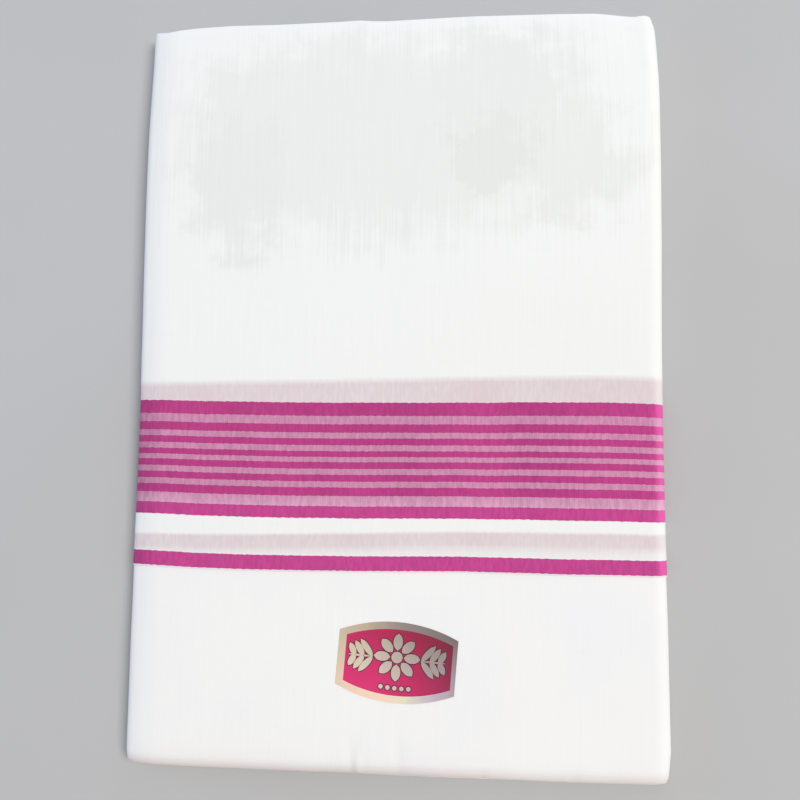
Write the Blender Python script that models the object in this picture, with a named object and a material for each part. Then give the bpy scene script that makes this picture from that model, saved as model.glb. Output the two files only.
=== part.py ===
"""A dhoti: one length of white cotton with woven magenta borders, folded into a flat pack.

The cloth is doubled across its width so that both selvedges lie together, and the doubled
cloth is folded over at the top edge, so that its border lies on the front as a flap.
It is then halved four times along its length. The last halving makes the smooth fold on
the right, and the bundles of the earlier folds show on the left.
X points right across the pack, Y up towards the top edge, Z up from the surface it lies on.
"""
import math

import bmesh
import bpy

MM = 0.001

# The cloth as it is woven, and how it is folded.
CLOTH_LENGTH = 4.00
CLOTH_WIDTH = 1.27
LENGTHWISE_LAYERS = 16
PACK_WIDTH = CLOTH_LENGTH / LENGTHWISE_LAYERS
PACK_LENGTH = 364 * MM
PACK_THICKNESS = 14 * MM
FLAP_LENGTH = CLOTH_WIDTH / 2 - PACK_LENGTH

# Walls of cloth, and the gap that keeps two pieces apart.
CLOTH_WALL = 1.3 * MM
GAP = 0.3 * MM
SELVEDGE_STEP = 4 * MM

# The hidden layers and the rounded edges of the folds that show round them.
LIPS = 8
LIP_BULGE = 0.9 * MM
LIP_SHOULDERS = (0.3, 0.7)
LIP_SHOULDER_BULGE = 0.85
LIP_UNEVEN = 0.5 * MM
SPINE_LIP_SHARE = 0.4
CORE_CORNER = 2.5 * MM

# How the pack has settled on the surface it lies on.
LOW_END_HEIGHT = 0.84
SLOPE_TOP = 60 * MM
SLOPE_FOOT = -100 * MM
SHOULDER_DROP = 0.10
SHOULDER_REACH = 7 * MM
SIDE_BULGE = 1.3 * MM
BULGE_CENTRE = 100 * MM
BULGE_REACH = 62 * MM
TOP_CORNER_DROP = 2.6 * MM
BOTTOM_CORNER_DROP = 0.7 * MM
CORNER_ROUND = 4 * MM
CORNER_STRENGTH = 0.5

# Every piece has points at the same places along the pack, so that all bend alike.
END_STATIONS = (2 * MM, 4 * MM, 8 * MM, 14 * MM, 24 * MM)
MIDDLE_STATION_STEPS = 10
CLOSEST_STATIONS = 1 * MM

# How finely the straight runs and the turns of each piece are divided.
FRONT_STEPS = 10
BACK_STEPS = 8
BUNDLE_STEPS = 8
SPINE_STEPS = 10
FOLD_STEPS = 6
LIP_STEPS = 4
CORE_STEPS = 6
LABEL_STEPS_ACROSS = 16
LABEL_STEPS_UP = 4
SHARP_EDGE = math.radians(40)
SAME_POINT = 0.0001 * MM

# The foil label: a barrel outline, a little turned.
LABEL_WIDTH = 55 * MM
LABEL_SIDE = 24.6 * MM
LABEL_MIDDLE = 38 * MM
LABEL_CENTRE = (2.0 * MM, -132.1 * MM)
LABEL_TURN = math.radians(-4.45)
LABEL_THICKNESS = 0.4 * MM

HALF_WIDTH = PACK_WIDTH / 2
HALF_LENGTH = PACK_LENGTH / 2
SELVEDGE_Y = HALF_LENGTH - FLAP_LENGTH
SPINE_RADIUS = PACK_THICKNESS / 2
BUNDLE_RADIUS = (PACK_THICKNESS / 2 - GAP) / 2
UNDER_FLAP = CLOTH_WALL + GAP
STEP_FOOT_Y = SELVEDGE_Y - SELVEDGE_STEP
STEP_TOP_Y = SELVEDGE_Y - GAP


def smooth_step(low, high, value):
    """Ease from 0 at low to 1 at high."""
    t = min(max((value - low) / (high - low), 0.0), 1.0)
    return t * t * (3 - 2 * t)


def evenly(start, end, steps):
    """Values from start to end, both included."""
    return [start + (end - start) * i / steps for i in range(steps + 1)]


def stations_along(low, high):
    """Places along the pack from low to high, both included, shared by all the pieces."""
    shared = [-HALF_LENGTH + inset for inset in END_STATIONS]
    shared += evenly(-HALF_LENGTH + END_STATIONS[-1], HALF_LENGTH - END_STATIONS[-1],
                     MIDDLE_STATION_STEPS)[1:-1]
    shared += [HALF_LENGTH - inset for inset in reversed(END_STATIONS)]
    inside = [y for y in shared if low + CLOSEST_STATIONS < y < high - CLOSEST_STATIONS]
    return [low] + inside + [high]


def settle(x, y, z):
    """Move a point of the neatly pressed pack to where the soft, settled pack has it."""
    rise = smooth_step(SLOPE_FOOT, SLOPE_TOP, y)
    height = LOW_END_HEIGHT + (1 - LOW_END_HEIGHT) * rise
    shoulder = math.exp(-(HALF_LENGTH - abs(y)) / SHOULDER_REACH)
    height *= 1 - SHOULDER_DROP * shoulder

    over_x = max(abs(x) - (HALF_WIDTH - CORNER_ROUND), 0.0)
    over_y = max(abs(y) - (HALF_LENGTH - CORNER_ROUND), 0.0)
    if over_x > 0 and over_y > 0:
        pull = 1 - CORNER_STRENGTH * (1 - max(over_x, over_y) / math.hypot(over_x, over_y))
        x -= math.copysign(over_x * (1 - pull), x)
        y -= math.copysign(over_y * (1 - pull), y)

    across = abs(x) / HALF_WIDTH
    along = abs(y) / HALF_LENGTH
    corner_drop = TOP_CORNER_DROP if y > 0 else BOTTOM_CORNER_DROP
    y -= math.copysign(corner_drop * across ** 4 * along ** 2, y)
    bulge = SIDE_BULGE * math.exp(-((y - BULGE_CENTRE) / BULGE_REACH) ** 2)
    x += bulge * x / HALF_WIDTH
    return x, y, z * height


def wrap_path():
    """Stations of the outer cloth as it goes round the pack, seen from its bottom edge.

    Each station is (x, z, outward x, outward z). The path starts in the bundle of folds on
    the left, crosses the front, turns round the spine on the right and ends on the back.
    """
    stations = []
    bundle_x = -HALF_WIDTH + BUNDLE_RADIUS
    bundle_z = PACK_THICKNESS - BUNDLE_RADIUS
    for angle in evenly(-90, -270, BUNDLE_STEPS):
        out_x = math.cos(math.radians(angle))
        out_z = math.sin(math.radians(angle))
        stations.append((bundle_x + BUNDLE_RADIUS * out_x, bundle_z + BUNDLE_RADIUS * out_z,
                         out_x, out_z))
    spine_x = HALF_WIDTH - SPINE_RADIUS
    for x in evenly(bundle_x, spine_x, FRONT_STEPS)[1:-1]:
        stations.append((x, PACK_THICKNESS, 0.0, 1.0))
    for angle in evenly(90, -90, SPINE_STEPS):
        out_x = math.cos(math.radians(angle))
        out_z = math.sin(math.radians(angle))
        stations.append((spine_x + SPINE_RADIUS * out_x, SPINE_RADIUS + SPINE_RADIUS * out_z,
                         out_x, out_z))
    for x in evenly(spine_x, -HALF_WIDTH + CORNER_ROUND, BACK_STEPS)[1:] + [-HALF_WIDTH]:
        stations.append((x, 0.0, 0.0, -1.0))
    return stations


def make_object(name, bm, material):
    """Turn a finished bmesh into a named, smooth-shaded object."""
    bmesh.ops.remove_doubles(bm, verts=bm.verts, dist=SAME_POINT)
    bmesh.ops.recalc_face_normals(bm, faces=bm.faces)
    if bm.calc_volume(signed=True) < 0:
        bmesh.ops.reverse_faces(bm, faces=bm.faces)
    mesh = bpy.data.meshes.new(name)
    bm.to_mesh(mesh)
    bm.free()
    mesh.shade_smooth()
    mesh.set_sharp_from_angle(angle=SHARP_EDGE)
    mesh.materials.append(material)
    piece = bpy.data.objects.new(name, mesh)
    bpy.context.scene.collection.objects.link(piece)
    return piece


def sweep_round_pack(name, section, material):
    """Sweep a closed section round the pack.

    The section's points are (y, depth below the outer face), in order round the section.
    """
    bm = bmesh.new()
    rings = []
    for x, z, out_x, out_z in wrap_path():
        rings.append([bm.verts.new(settle(x - depth * out_x, y, z - depth * out_z))
                      for y, depth in section])
    count = len(section)
    for first, second in zip(rings, rings[1:]):
        for k in range(count):
            after = (k + 1) % count
            bm.faces.new((first[k], first[after], second[after], second[k]))
    for ring in (rings[0], rings[-1]):
        cap = bm.faces.new(ring)
        bmesh.ops.triangulate(bm, faces=[cap])
    return make_object(name, bm, material)


def arc(centre_y, centre_depth, radius, start, end, steps):
    """Points of a section's arc, with angles in degrees from +Y towards greater depth."""
    return [(centre_y + radius * math.cos(math.radians(a)),
             centre_depth + radius * math.sin(math.radians(a)))
            for a in evenly(start, end, steps)]


def flap_section():
    """The flap: outer face from the selvedge to the top edge, then folded over into the pack."""
    fold_radius = (UNDER_FLAP + CLOTH_WALL) / 2
    fold_y = HALF_LENGTH - fold_radius
    along = stations_along(SELVEDGE_Y, fold_y)
    outer = [(y, 0.0) for y in along[:-1]]
    fold = arc(fold_y, fold_radius, fold_radius, -90, 90, FOLD_STEPS)
    inside = arc(fold_y, fold_radius, GAP / 2, 90, -90, 2)
    inner = [(y, CLOTH_WALL) for y in reversed(along[:-1])]
    return outer + fold + inside + inner


def lower_section():
    """The stretch under the flap: level with the flap's face below the selvedge."""
    lip_radius = CLOTH_WALL / 2
    foot_y = -HALF_LENGTH + lip_radius
    end_y = HALF_LENGTH - (UNDER_FLAP + CLOTH_WALL) / 2 - GAP
    face = ([(y, 0.0) for y in stations_along(foot_y, STEP_FOOT_Y)]
            + [(y, UNDER_FLAP) for y in stations_along(STEP_TOP_Y, end_y)])
    lip = arc(foot_y, lip_radius, lip_radius, 90, 270, LIP_STEPS)[1:-1]
    back = [(y, depth + CLOTH_WALL) for y, depth in reversed(face)]
    return face + back + lip


def core_depth(y):
    """How far below the outer face the hidden layers begin."""
    share = min(max((y - STEP_FOOT_Y) / (STEP_TOP_Y - STEP_FOOT_Y), 0.0), 1.0)
    return UNDER_FLAP + UNDER_FLAP * share


def lip_profile():
    """Levels of the hidden layers, from below: (share of the height, bulge, lip number).

    A lip is one rounded fold, with a groove at bulge 0 below and above it.
    """
    levels = [(0.0, 0.0, 0)]
    for lip in range(LIPS):
        for share in LIP_SHOULDERS:
            levels.append(((lip + share) / LIPS, LIP_SHOULDER_BULGE, lip))
        if lip < LIPS - 1:
            levels.append(((lip + 1) / LIPS, 0.0, lip))
    levels.append((1.0, 0.0, LIPS - 1))
    return levels


def uneven(lip, side):
    """A small, fixed difference in how far each fold reaches at a side."""
    scatter = 2.4 * lip * lip + 1.7 * side + 0.6
    return LIP_UNEVEN * math.sin(scatter)


def core_ends(bulge, lip):
    """Bottom and top reach of the hidden layers at one level."""
    lip_back = LIP_BULGE * (1 - bulge) + LIP_UNEVEN
    return -HALF_LENGTH + lip_back + uneven(lip, 2), HALF_LENGTH - lip_back + uneven(lip, 3)


def core_sides(y, share, bulge, lip):
    """Left and right reach and the height of the hidden layers at one level."""
    depth = core_depth(y)
    half = PACK_THICKNESS / 2 - depth
    from_middle = (share - 0.5) * 2 * half
    lip_back = LIP_BULGE * (1 - bulge)
    right = HALF_WIDTH - SPINE_RADIUS + math.sqrt(max(half ** 2 - from_middle ** 2, 0.0))
    right -= lip_back * SPINE_LIP_SHARE
    if share < 0.5:
        left = -HALF_WIDTH + LIP_UNEVEN + lip_back + uneven(lip, 1)
    else:
        left = -HALF_WIDTH + BUNDLE_RADIUS + GAP + lip_back
    return left, right, PACK_THICKNESS / 2 + from_middle


def core_point(u, row, share, bulge, lip):
    """A point of the hidden layers: u from -1 to 1 across, row a place along the pack.

    The first and last rows lie at this level's own reach.
    """
    bottom, top = core_ends(bulge, lip)
    y = min(max(row, bottom), top)
    left, right, z = core_sides(y, share, bulge, lip)
    middle, half = (left + right) / 2, (right - left) / 2
    x = u * half
    over_x = max(abs(x) - (half - CORE_CORNER), 0.0)
    over_y = max(y - (top - CORE_CORNER), (bottom + CORE_CORNER) - y, 0.0)
    if over_x > 0 and over_y > 0:
        pull = max(over_x, over_y) / math.hypot(over_x, over_y)
        x -= math.copysign(over_x * (1 - pull), x)
        y -= math.copysign(over_y * (1 - pull), y)
    return settle(middle + x, y, z)


def hidden_layers(material):
    """The folded cloth inside, one rounded solid whose edges show as a stack of folds."""
    near_side = 1 - CORE_CORNER / HALF_WIDTH
    columns = [-1.0] + evenly(-near_side, near_side, CORE_STEPS) + [1.0]
    rows = (stations_along(-HALF_LENGTH, STEP_FOOT_Y)
            + stations_along(STEP_TOP_Y, HALF_LENGTH))
    border = ([(i, 0) for i in range(len(columns) - 1)]
              + [(len(columns) - 1, j) for j in range(len(rows) - 1)]
              + [(i, len(rows) - 1) for i in range(len(columns) - 1, 0, -1)]
              + [(0, j) for j in range(len(rows) - 1, 0, -1)])
    levels = lip_profile()
    bm = bmesh.new()
    rings = []
    for share, bulge, lip in levels:
        rings.append([bm.verts.new(core_point(columns[i], rows[j], share, bulge, lip))
                      for i, j in border])
    for lower, upper in zip(rings, rings[1:]):
        for k in range(len(border)):
            after = (k + 1) % len(border)
            bm.faces.new((lower[k], lower[after], upper[after], upper[k]))
    for ring, level in ((rings[0], levels[0]), (rings[-1], levels[-1])):
        at = dict(zip(border, ring))
        for i, u in enumerate(columns):
            for j, v in enumerate(rows):
                if (i, j) not in at:
                    at[(i, j)] = bm.verts.new(core_point(u, v, *level))
        for i in range(len(columns) - 1):
            for j in range(len(rows) - 1):
                bm.faces.new((at[(i, j)], at[(i + 1, j)], at[(i + 1, j + 1)], at[(i, j + 1)]))
    return make_object("hidden_layers", bm, material)


def label_point(u, v, lift):
    """A point of the label, u and v from -1 to 1, lifted off the cloth under it."""
    side = LABEL_SIDE / 2
    sagitta = (LABEL_MIDDLE - LABEL_SIDE) / 2
    half_width = LABEL_WIDTH / 2
    radius = (half_width ** 2 + sagitta ** 2) / (2 * sagitta)
    half_height = side + sagitta - radius + math.sqrt(radius ** 2 - (u * half_width) ** 2)
    across, up = u * half_width, v * half_height
    x = LABEL_CENTRE[0] + across * math.cos(LABEL_TURN) - up * math.sin(LABEL_TURN)
    y = LABEL_CENTRE[1] + across * math.sin(LABEL_TURN) + up * math.cos(LABEL_TURN)
    x, y, z = settle(x, y, PACK_THICKNESS)
    return x, y, z + lift


def foil_label(material):
    """The sticker: a thin plate made from the points of the cloth under it, moved out."""
    across = evenly(-1, 1, LABEL_STEPS_ACROSS)
    up = evenly(-1, 1, LABEL_STEPS_UP)
    bm = bmesh.new()
    faces = []
    for lift in (GAP, GAP + LABEL_THICKNESS):
        faces.append([[bm.verts.new(label_point(u, v, lift)) for v in up] for u in across])
    for grid in faces:
        for i in range(len(across) - 1):
            for j in range(len(up) - 1):
                bm.faces.new((grid[i][j], grid[i + 1][j], grid[i + 1][j + 1], grid[i][j + 1]))
    low, high = faces
    last_i, last_j = len(across) - 1, len(up) - 1
    for i in range(last_i):
        for j in (0, last_j):
            bm.faces.new((low[i][j], low[i + 1][j], high[i + 1][j], high[i][j]))
    for j in range(last_j):
        for i in (0, last_i):
            bm.faces.new((low[i][j], low[i][j + 1], high[i][j + 1], high[i][j]))
    return make_object("foil_label", bm, material)


def plain_material(name, colour, roughness, metallic=0.0):
    """A Principled material with one colour."""
    material = bpy.data.materials.new(name)
    material.use_nodes = True
    shader = material.node_tree.nodes["Principled BSDF"]
    shader.inputs["Base Color"].default_value = (*colour, 1.0)
    shader.inputs["Roughness"].default_value = roughness
    shader.inputs["Metallic"].default_value = metallic
    return material


def main():
    for old in list(bpy.data.objects):
        bpy.data.objects.remove(old, do_unlink=True)
    bordered_cotton = plain_material("white_cotton_with_border", (0.86, 0.80, 0.83), 0.85)
    plain_cotton = plain_material("white_cotton", (0.88, 0.88, 0.86), 0.85)
    inner_cotton = plain_material("white_cotton_inside", (0.80, 0.80, 0.79), 0.9)
    foil = plain_material("printed_foil", (0.60, 0.05, 0.25), 0.3, 0.6)
    sweep_round_pack("border_flap", flap_section(), bordered_cotton)
    sweep_round_pack("lower_wrap", lower_section(), plain_cotton)
    hidden_layers(inner_cotton)
    foil_label(foil)


main()
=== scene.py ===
# %% [markdown]
# # A dhoti cloth, folded for the shelf
#
# The real object is one length of white cotton, 4.00 m by 1.27 m, with a magenta border woven
# along both selvedges. It is doubled across its width, folded over at the top so that the border
# lies on the front, and then halved four times along its length. A foil label goes on the front.
#
# The cloth could be one block with lines drawn on its edges. It is made here as the cloth really
# lies: sixteen layers that turn round one another at the sides, so every edge shows true folds.

# %% Load the frame
import math

import bmesh
import bpy
import numpy as np
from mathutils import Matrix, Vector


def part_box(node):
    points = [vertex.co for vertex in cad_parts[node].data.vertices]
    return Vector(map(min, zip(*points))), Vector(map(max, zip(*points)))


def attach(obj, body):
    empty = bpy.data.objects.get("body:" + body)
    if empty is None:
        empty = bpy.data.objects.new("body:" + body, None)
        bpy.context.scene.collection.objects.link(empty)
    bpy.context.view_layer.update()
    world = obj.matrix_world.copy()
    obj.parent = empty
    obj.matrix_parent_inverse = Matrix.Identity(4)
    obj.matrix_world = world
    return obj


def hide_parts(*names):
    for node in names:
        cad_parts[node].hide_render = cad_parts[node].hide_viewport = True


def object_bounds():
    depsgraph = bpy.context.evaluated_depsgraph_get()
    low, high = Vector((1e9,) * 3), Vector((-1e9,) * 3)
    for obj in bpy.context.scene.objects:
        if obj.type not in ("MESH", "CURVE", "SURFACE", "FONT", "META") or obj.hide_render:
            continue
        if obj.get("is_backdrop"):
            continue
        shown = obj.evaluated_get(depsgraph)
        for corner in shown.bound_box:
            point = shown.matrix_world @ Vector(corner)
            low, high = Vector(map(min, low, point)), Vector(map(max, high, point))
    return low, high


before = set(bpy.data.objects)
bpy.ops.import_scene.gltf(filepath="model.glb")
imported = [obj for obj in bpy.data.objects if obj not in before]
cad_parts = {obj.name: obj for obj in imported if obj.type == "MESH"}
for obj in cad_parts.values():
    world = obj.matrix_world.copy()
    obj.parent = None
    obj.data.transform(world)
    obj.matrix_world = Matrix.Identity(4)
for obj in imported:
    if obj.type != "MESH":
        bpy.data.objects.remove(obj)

cad_low, cad_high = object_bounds()
scene = bpy.context.scene
print("frame nodes:", ", ".join(sorted(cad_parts)))

# %% [markdown]
# ## Sizes
#
# The frame gives the pack's length and thickness and the selvedge's place. The pack's width
# follows from the cloth, halved four times. They could be typed in as numbers, but read and worked
# out like this they stay true to the solids and to the real cloth.

# %% Sizes of the pack
MM = 0.001
flap_low, flap_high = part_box("border_flap")
CLOTH_LENGTH = 4.00
LAYERS = 16
HALF_LENGTH = flap_high.y
HALF_WIDTH = CLOTH_LENGTH / LAYERS / 2
THICKNESS = flap_high.z
SELVEDGE_Y = flap_low.y
PITCH = THICKNESS / LAYERS
PLY = 0.35 * MM   # the cloth lies doubled: two plies of about 0.2 mm, pressed
print(f"pack {2 * HALF_WIDTH / MM:.0f} x {2 * HALF_LENGTH / MM:.0f} x {THICKNESS / MM:.1f} mm,",
      f"one layer every {PITCH / MM:.2f} mm, selvedge at y {SELVEDGE_Y / MM:.0f} mm")

# %% [markdown]
# ## Camera
#
# The photo is taken from almost straight above, a little to the right of the middle and a little
# towards the bottom edge. A camera could be moved about by eye until it fits. Here the pack's four
# corners give its place and turn, for a lens of 36 mm on a 36 mm sensor, because four points fix
# a camera far more closely than the eye does.

# %% Camera
CAMERA_PLACE = (32.8 * MM, -49.8 * MM, 386.9 * MM)
CAMERA_TURN = (6.13, 4.59, 0.605)
bpy.ops.object.select_all(action="DESELECT")
camera_data = bpy.data.cameras.new("camera")
camera_data.lens = 36
camera_data.sensor_width = 36
camera_data.clip_start = 0.01
camera = bpy.data.objects.new("camera", camera_data)
camera.location = CAMERA_PLACE
camera.rotation_euler = [math.radians(a) for a in CAMERA_TURN]
scene.collection.objects.link(camera)
scene.camera = camera
print(f"camera {camera.location.z / MM:.0f} mm up, tilted {max(CAMERA_TURN):.1f} degrees at most")

# %% [markdown]
# ## How the pack has settled
#
# A pressed pack would be a perfect slab. A real one is highest above the middle, where the flap
# doubles the layers, and lower where they thin out. Its edges sink, its sides bow out and its
# corners pull in. One function holds all of that. Every piece goes through it, so layers that lie
# on each other stay on each other.

# %% How far the edges and corners sink
LOW_END_HEIGHT = 0.84
SLOPE_FOOT, SLOPE_TOP = -100 * MM, 60 * MM
TOP_SINK, TOP_SINK_REACH = 0.13, 3.2 * MM
BOTTOM_SINK, BOTTOM_SINK_REACH = 0.40, 3.8 * MM
LEFT_SINK, LEFT_SINK_REACH = 0.09, 13 * MM
RIGHT_SINK, RIGHT_SINK_REACH = 0.05, 10 * MM
CORNER_ROUND = 4 * MM
CORNER_STRENGTH = {"top left": 0.05, "top right": 0.55, "bottom left": 0.60, "bottom right": 0.45}
print(f"the low end lies at {LOW_END_HEIGHT:.0%} of the full height")

# %% The lines of the four edges
# How far each edge stands out from the straight line, in mm, from place to place along it.
LEFT_LINE = [(-182, -0.5), (-176, 0.0), (-150, 0.05), (-128, 0.25), (-109, 0.35), (-89, 0.65),
             (-70, 0.4), (-50, 0.2), (-11, 0.1), (9, 0.45), (28, 0.6), (48, 0.95), (67, 1.2),
             (87, 1.5), (106, 1.65), (126, 1.65), (145, 1.2), (155, 0.9), (165, 0.65),
             (172, 0.6), (182, 0.75)]
RIGHT_LINE = [(-182, -1.3), (-176, -0.7), (-168, 0.1), (-128, 0.1), (-109, 0.2), (-89, 0.2),
              (-70, -0.1), (-11, -0.1), (9, 0.05), (28, 0.3), (48, 0.7), (67, 1.15), (87, 1.4),
              (106, 1.7), (126, 1.8), (145, 1.85), (155, 1.65), (165, 1.15), (172, 0.75),
              (182, 0.1)]
TOP_LINE = [(-125, -1.9), (-121.5, -2.2), (-118, -2.4), (-110, -1.35), (-100, -0.8), (-84, -0.35),
            (-63, -0.6), (-43, -0.3), (-31, -0.2), (-23, 0.0), (-19, 0.0), (-13, -0.5), (-3, -0.7),
            (17, -0.2), (37, 0.25), (57, 0.0), (80, -0.35), (96, -0.8), (106, -2.0), (114, -2.8),
            (119, -2.4), (121, -2.6), (122.5, -3.3), (124, -5.0), (125, -7.0)]
BOTTOM_LINE = [(-125, -0.6), (-112, 0.1), (-98, 0.3), (-60, 0.45), (-38, 0.4), (-24, 0.0),
               (-18, 0.15), (10, 0.1), (45, -0.15), (80, 0.15), (105, -0.2), (118, -0.4),
               (125, -1.0)]
widest = max(out for place, out in LEFT_LINE) + max(out for place, out in RIGHT_LINE)
print(f"the sides bow out by {widest:.1f} mm together")

# %% Soft steps and bells


def ease(low, high, value):
    """0 below low, 1 above high, and a soft step between."""
    t = np.clip((value - low) / (high - low), 0, 1)
    return t * t * (3 - 2 * t)


def hump(distance, reach):
    """A bell curve, 1 at distance 0."""
    return np.exp(-(distance / reach) ** 2)


print(f"half way up a soft step: {ease(0, 1, 0.5):.2f}")

# %% [markdown]
# ## Creases
#
# A folded cotton keeps a few soft creases: short ones that run up from the bottom fold, where the
# layers pucker, and long shallow ones across the front. Sculpting them by hand would give them no
# sizes, and noise would put them anywhere. Each is a line here with its own width and depth. The
# strongest one, near the middle of the bottom fold, is a trough with a ridge close beside it,
# because its steep side has to face away from the light.

# %% Creases of the front
# In mm: both ends of the line, half width, depth (below 0: a ridge).
CREASES = [
    dict(x1=-18.4, y1=-184, x2=-19.0, y2=-165, half=2.6, depth=0.60),
    dict(x1=-15.2, y1=-184, x2=-15.6, y2=-171, half=1.6, depth=-0.62),
    dict(x1=4.0, y1=-184, x2=1.5, y2=-158, half=3.0, depth=0.36),
    dict(x1=40.5, y1=-184, x2=41.0, y2=-176, half=1.9, depth=0.50),
    dict(x1=82.0, y1=-184, x2=82.5, y2=-174, half=2.4, depth=0.28),
    dict(x1=-8.0, y1=-183, x2=-9.5, y2=-156, half=4.0, depth=-0.22),
    dict(x1=-115.0, y1=-172, x2=-115.5, y2=-112, half=3.6, depth=0.22),
    dict(x1=-20.0, y1=184, x2=-21.0, y2=160, half=5.0, depth=-0.25),
    dict(x1=-6.0, y1=184, x2=-7.0, y2=168, half=3.5, depth=0.25),
    dict(x1=112.0, y1=184, x2=108.0, y2=162, half=7.0, depth=0.45),
    dict(x1=-60.0, y1=176, x2=-40.0, y2=150, half=9.0, depth=0.15),
    dict(x1=96.0, y1=-176, x2=110.0, y2=-158, half=6.0, depth=0.18),
    dict(x1=-3.0, y1=-60, x2=-1.0, y2=150, half=7.0, depth=0.10),
]


def relief(x, y):
    """Height of the front's soft folds above the plain form."""
    total = 0.12 * MM * np.sin(x / (31 * MM) + 0.7) * np.sin(y / (43 * MM) - 0.4)
    total = total + 0.07 * MM * np.sin(x / (13 * MM) - y / (37 * MM))
    for c in CREASES:
        x1, y1, x2, y2 = (c[k] * MM for k in ("x1", "y1", "x2", "y2"))
        run = math.hypot(x2 - x1, y2 - y1)
        along = ((x - x1) * (x2 - x1) + (y - y1) * (y2 - y1)) / run
        aside = ((x - x1) * (y2 - y1) - (y - y1) * (x2 - x1)) / run
        fade = ease(-0.25 * run, 0.15 * run, along) * (1 - ease(0.45 * run, 1.25 * run, along))
        total = total - c["depth"] * MM * fade * hump(aside, c["half"] * MM)
    return total


ridges = sum(c["depth"] < 0 for c in CREASES)
print(f"{len(CREASES) - ridges} troughs and {ridges} ridges")

# %% The settled form


def height_share(x, y):
    """The settled height over the pressed one."""
    share = LOW_END_HEIGHT + (1 - LOW_END_HEIGHT) * ease(SLOPE_FOOT, SLOPE_TOP, y)
    share = share * (1 - TOP_SINK * np.exp(-(HALF_LENGTH - y) / TOP_SINK_REACH))
    left_more = 1 - 0.5 * ease(-0.4 * HALF_WIDTH, 0.4 * HALF_WIDTH, x)
    share = share * (1 - BOTTOM_SINK * left_more * np.exp(-(HALF_LENGTH + y) / BOTTOM_SINK_REACH))
    share = share * (1 - LEFT_SINK * np.exp(-(HALF_WIDTH + x) / LEFT_SINK_REACH))
    return share * (1 - RIGHT_SINK * np.exp(-(HALF_WIDTH - x) / RIGHT_SINK_REACH))


def edge_line(table, along):
    """How far an edge stands out at places along it, in metres."""
    places, offsets = zip(*table)
    return np.interp(along / MM, places, offsets) * MM


def settle(x, y, z):
    """Move points of the pressed pack to where the soft pack has them."""
    x, y, z = np.broadcast_arrays(x, y, z)
    up = z * height_share(x, y) + relief(x, y) * np.clip(z / THICKNESS, 0, 1) ** 2

    at_left, at_right = ease(0, HALF_WIDTH, -x), ease(0, HALF_WIDTH, x)
    at_bottom, at_top = ease(0, HALF_LENGTH, -y), ease(0, HALF_LENGTH, y)
    left, right = edge_line(LEFT_LINE, y), edge_line(RIGHT_LINE, y)
    bottom, top = edge_line(BOTTOM_LINE, x), edge_line(TOP_LINE, x)

    over_x = np.maximum(np.abs(x) - (HALF_WIDTH - CORNER_ROUND), 0)
    over_y = np.maximum(np.abs(y) - (HALF_LENGTH - CORNER_ROUND), 0)
    longest = np.maximum(over_x, over_y)
    diagonal = np.maximum(np.hypot(over_x, over_y), 1e-9)
    strength = np.where(y > 0,
                        np.where(x > 0, CORNER_STRENGTH["top right"], CORNER_STRENGTH["top left"]),
                        np.where(x > 0, CORNER_STRENGTH["bottom right"],
                                 CORNER_STRENGTH["bottom left"]))
    pull = np.where((over_x > 0) & (over_y > 0), strength * (1 - longest / diagonal), 0)
    x = x - np.sign(x) * over_x * pull
    y = y - np.sign(y) * over_y * pull

    x = x + at_right * right - at_left * left
    y = y + at_top * top - at_bottom * bottom
    return np.stack([x, y, up], axis=-1)


top_middle = settle(np.array(0.0), np.array(100 * MM), np.array(THICKNESS))
print(f"the front lies {top_middle[2] / MM:.1f} mm up at the middle of the flap")

# %% [markdown]
# ## How the layers follow one another
#
# Halving a strip four times puts its sixteen stretches in a fixed order. The order could be typed
# in, but folding a row of numbers is surer and shows how it comes about: each halving lays one
# half of the row, turned over, under the other half.

# %% Fold the strip


def fold_order():
    """The stretches of the strip, from the top layer to the bottom one."""
    row = [[k] for k in range(LAYERS)]
    for half_that_goes_under in ("right", "right", "left", "right"):
        half = len(row) // 2
        left, right = row[:half], row[half:]
        if half_that_goes_under == "right":
            row = [a + b[::-1] for a, b in zip(left, right[::-1])]
        else:
            row = [b + a[::-1] for a, b in zip(left[::-1], right)]
    return row[0]


ORDER = fold_order()
PLACE = {stretch: place for place, stretch in enumerate(ORDER)}
print("stretches from the top:", ORDER)

# %% [markdown]
# ## The path of the cloth
#
# Seen from the bottom edge, the strip is a line that runs to and fro across the pack. It turns
# round the spine on the right at every odd fold, and in small bundles on the left at every even
# one. A station is one point of that line, with the direction that is outward there.

# %% Stations along the strip
SPINE_X = HALF_WIDTH - THICKNESS / 2
BUNDLES = {0: -HALF_WIDTH, 8: -HALF_WIDTH + 1.9 * MM, 9: -HALF_WIDTH + 2.6 * MM,
           10: -HALF_WIDTH + 1.1 * MM, 12: -HALF_WIDTH + 0.5 * MM}
LAYERS_IN_BUNDLE = {0: 8, 10: 2, 12: 4}


def layer_z(place):
    """Height of the middle of a layer in the pressed pack."""
    return THICKNESS - (place + 0.5) * PITCH


def turn(first, second, side, steps):
    """Stations of the turn from one layer to another at a side: 1 right, -1 left."""
    z1, z2 = layer_z(first), layer_z(second)
    radius = abs(z1 - z2) / 2
    if side > 0:
        centre_x = SPINE_X
    else:
        upper = min(first, second)
        bundle = max(k for k in BUNDLES if k <= upper)
        centre_x = BUNDLES[bundle] + LAYERS_IN_BUNDLE[bundle] * PITCH / 2
    start = 90 if z1 > z2 else -90
    angles = np.radians(np.linspace(start, -start, steps + 1))
    out_x, out_z = side * np.cos(angles), np.sin(angles)
    return [(centre_x + radius * a, (z1 + z2) / 2 + radius * b, a, b)
            for a, b in zip(out_x, out_z)]


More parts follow.
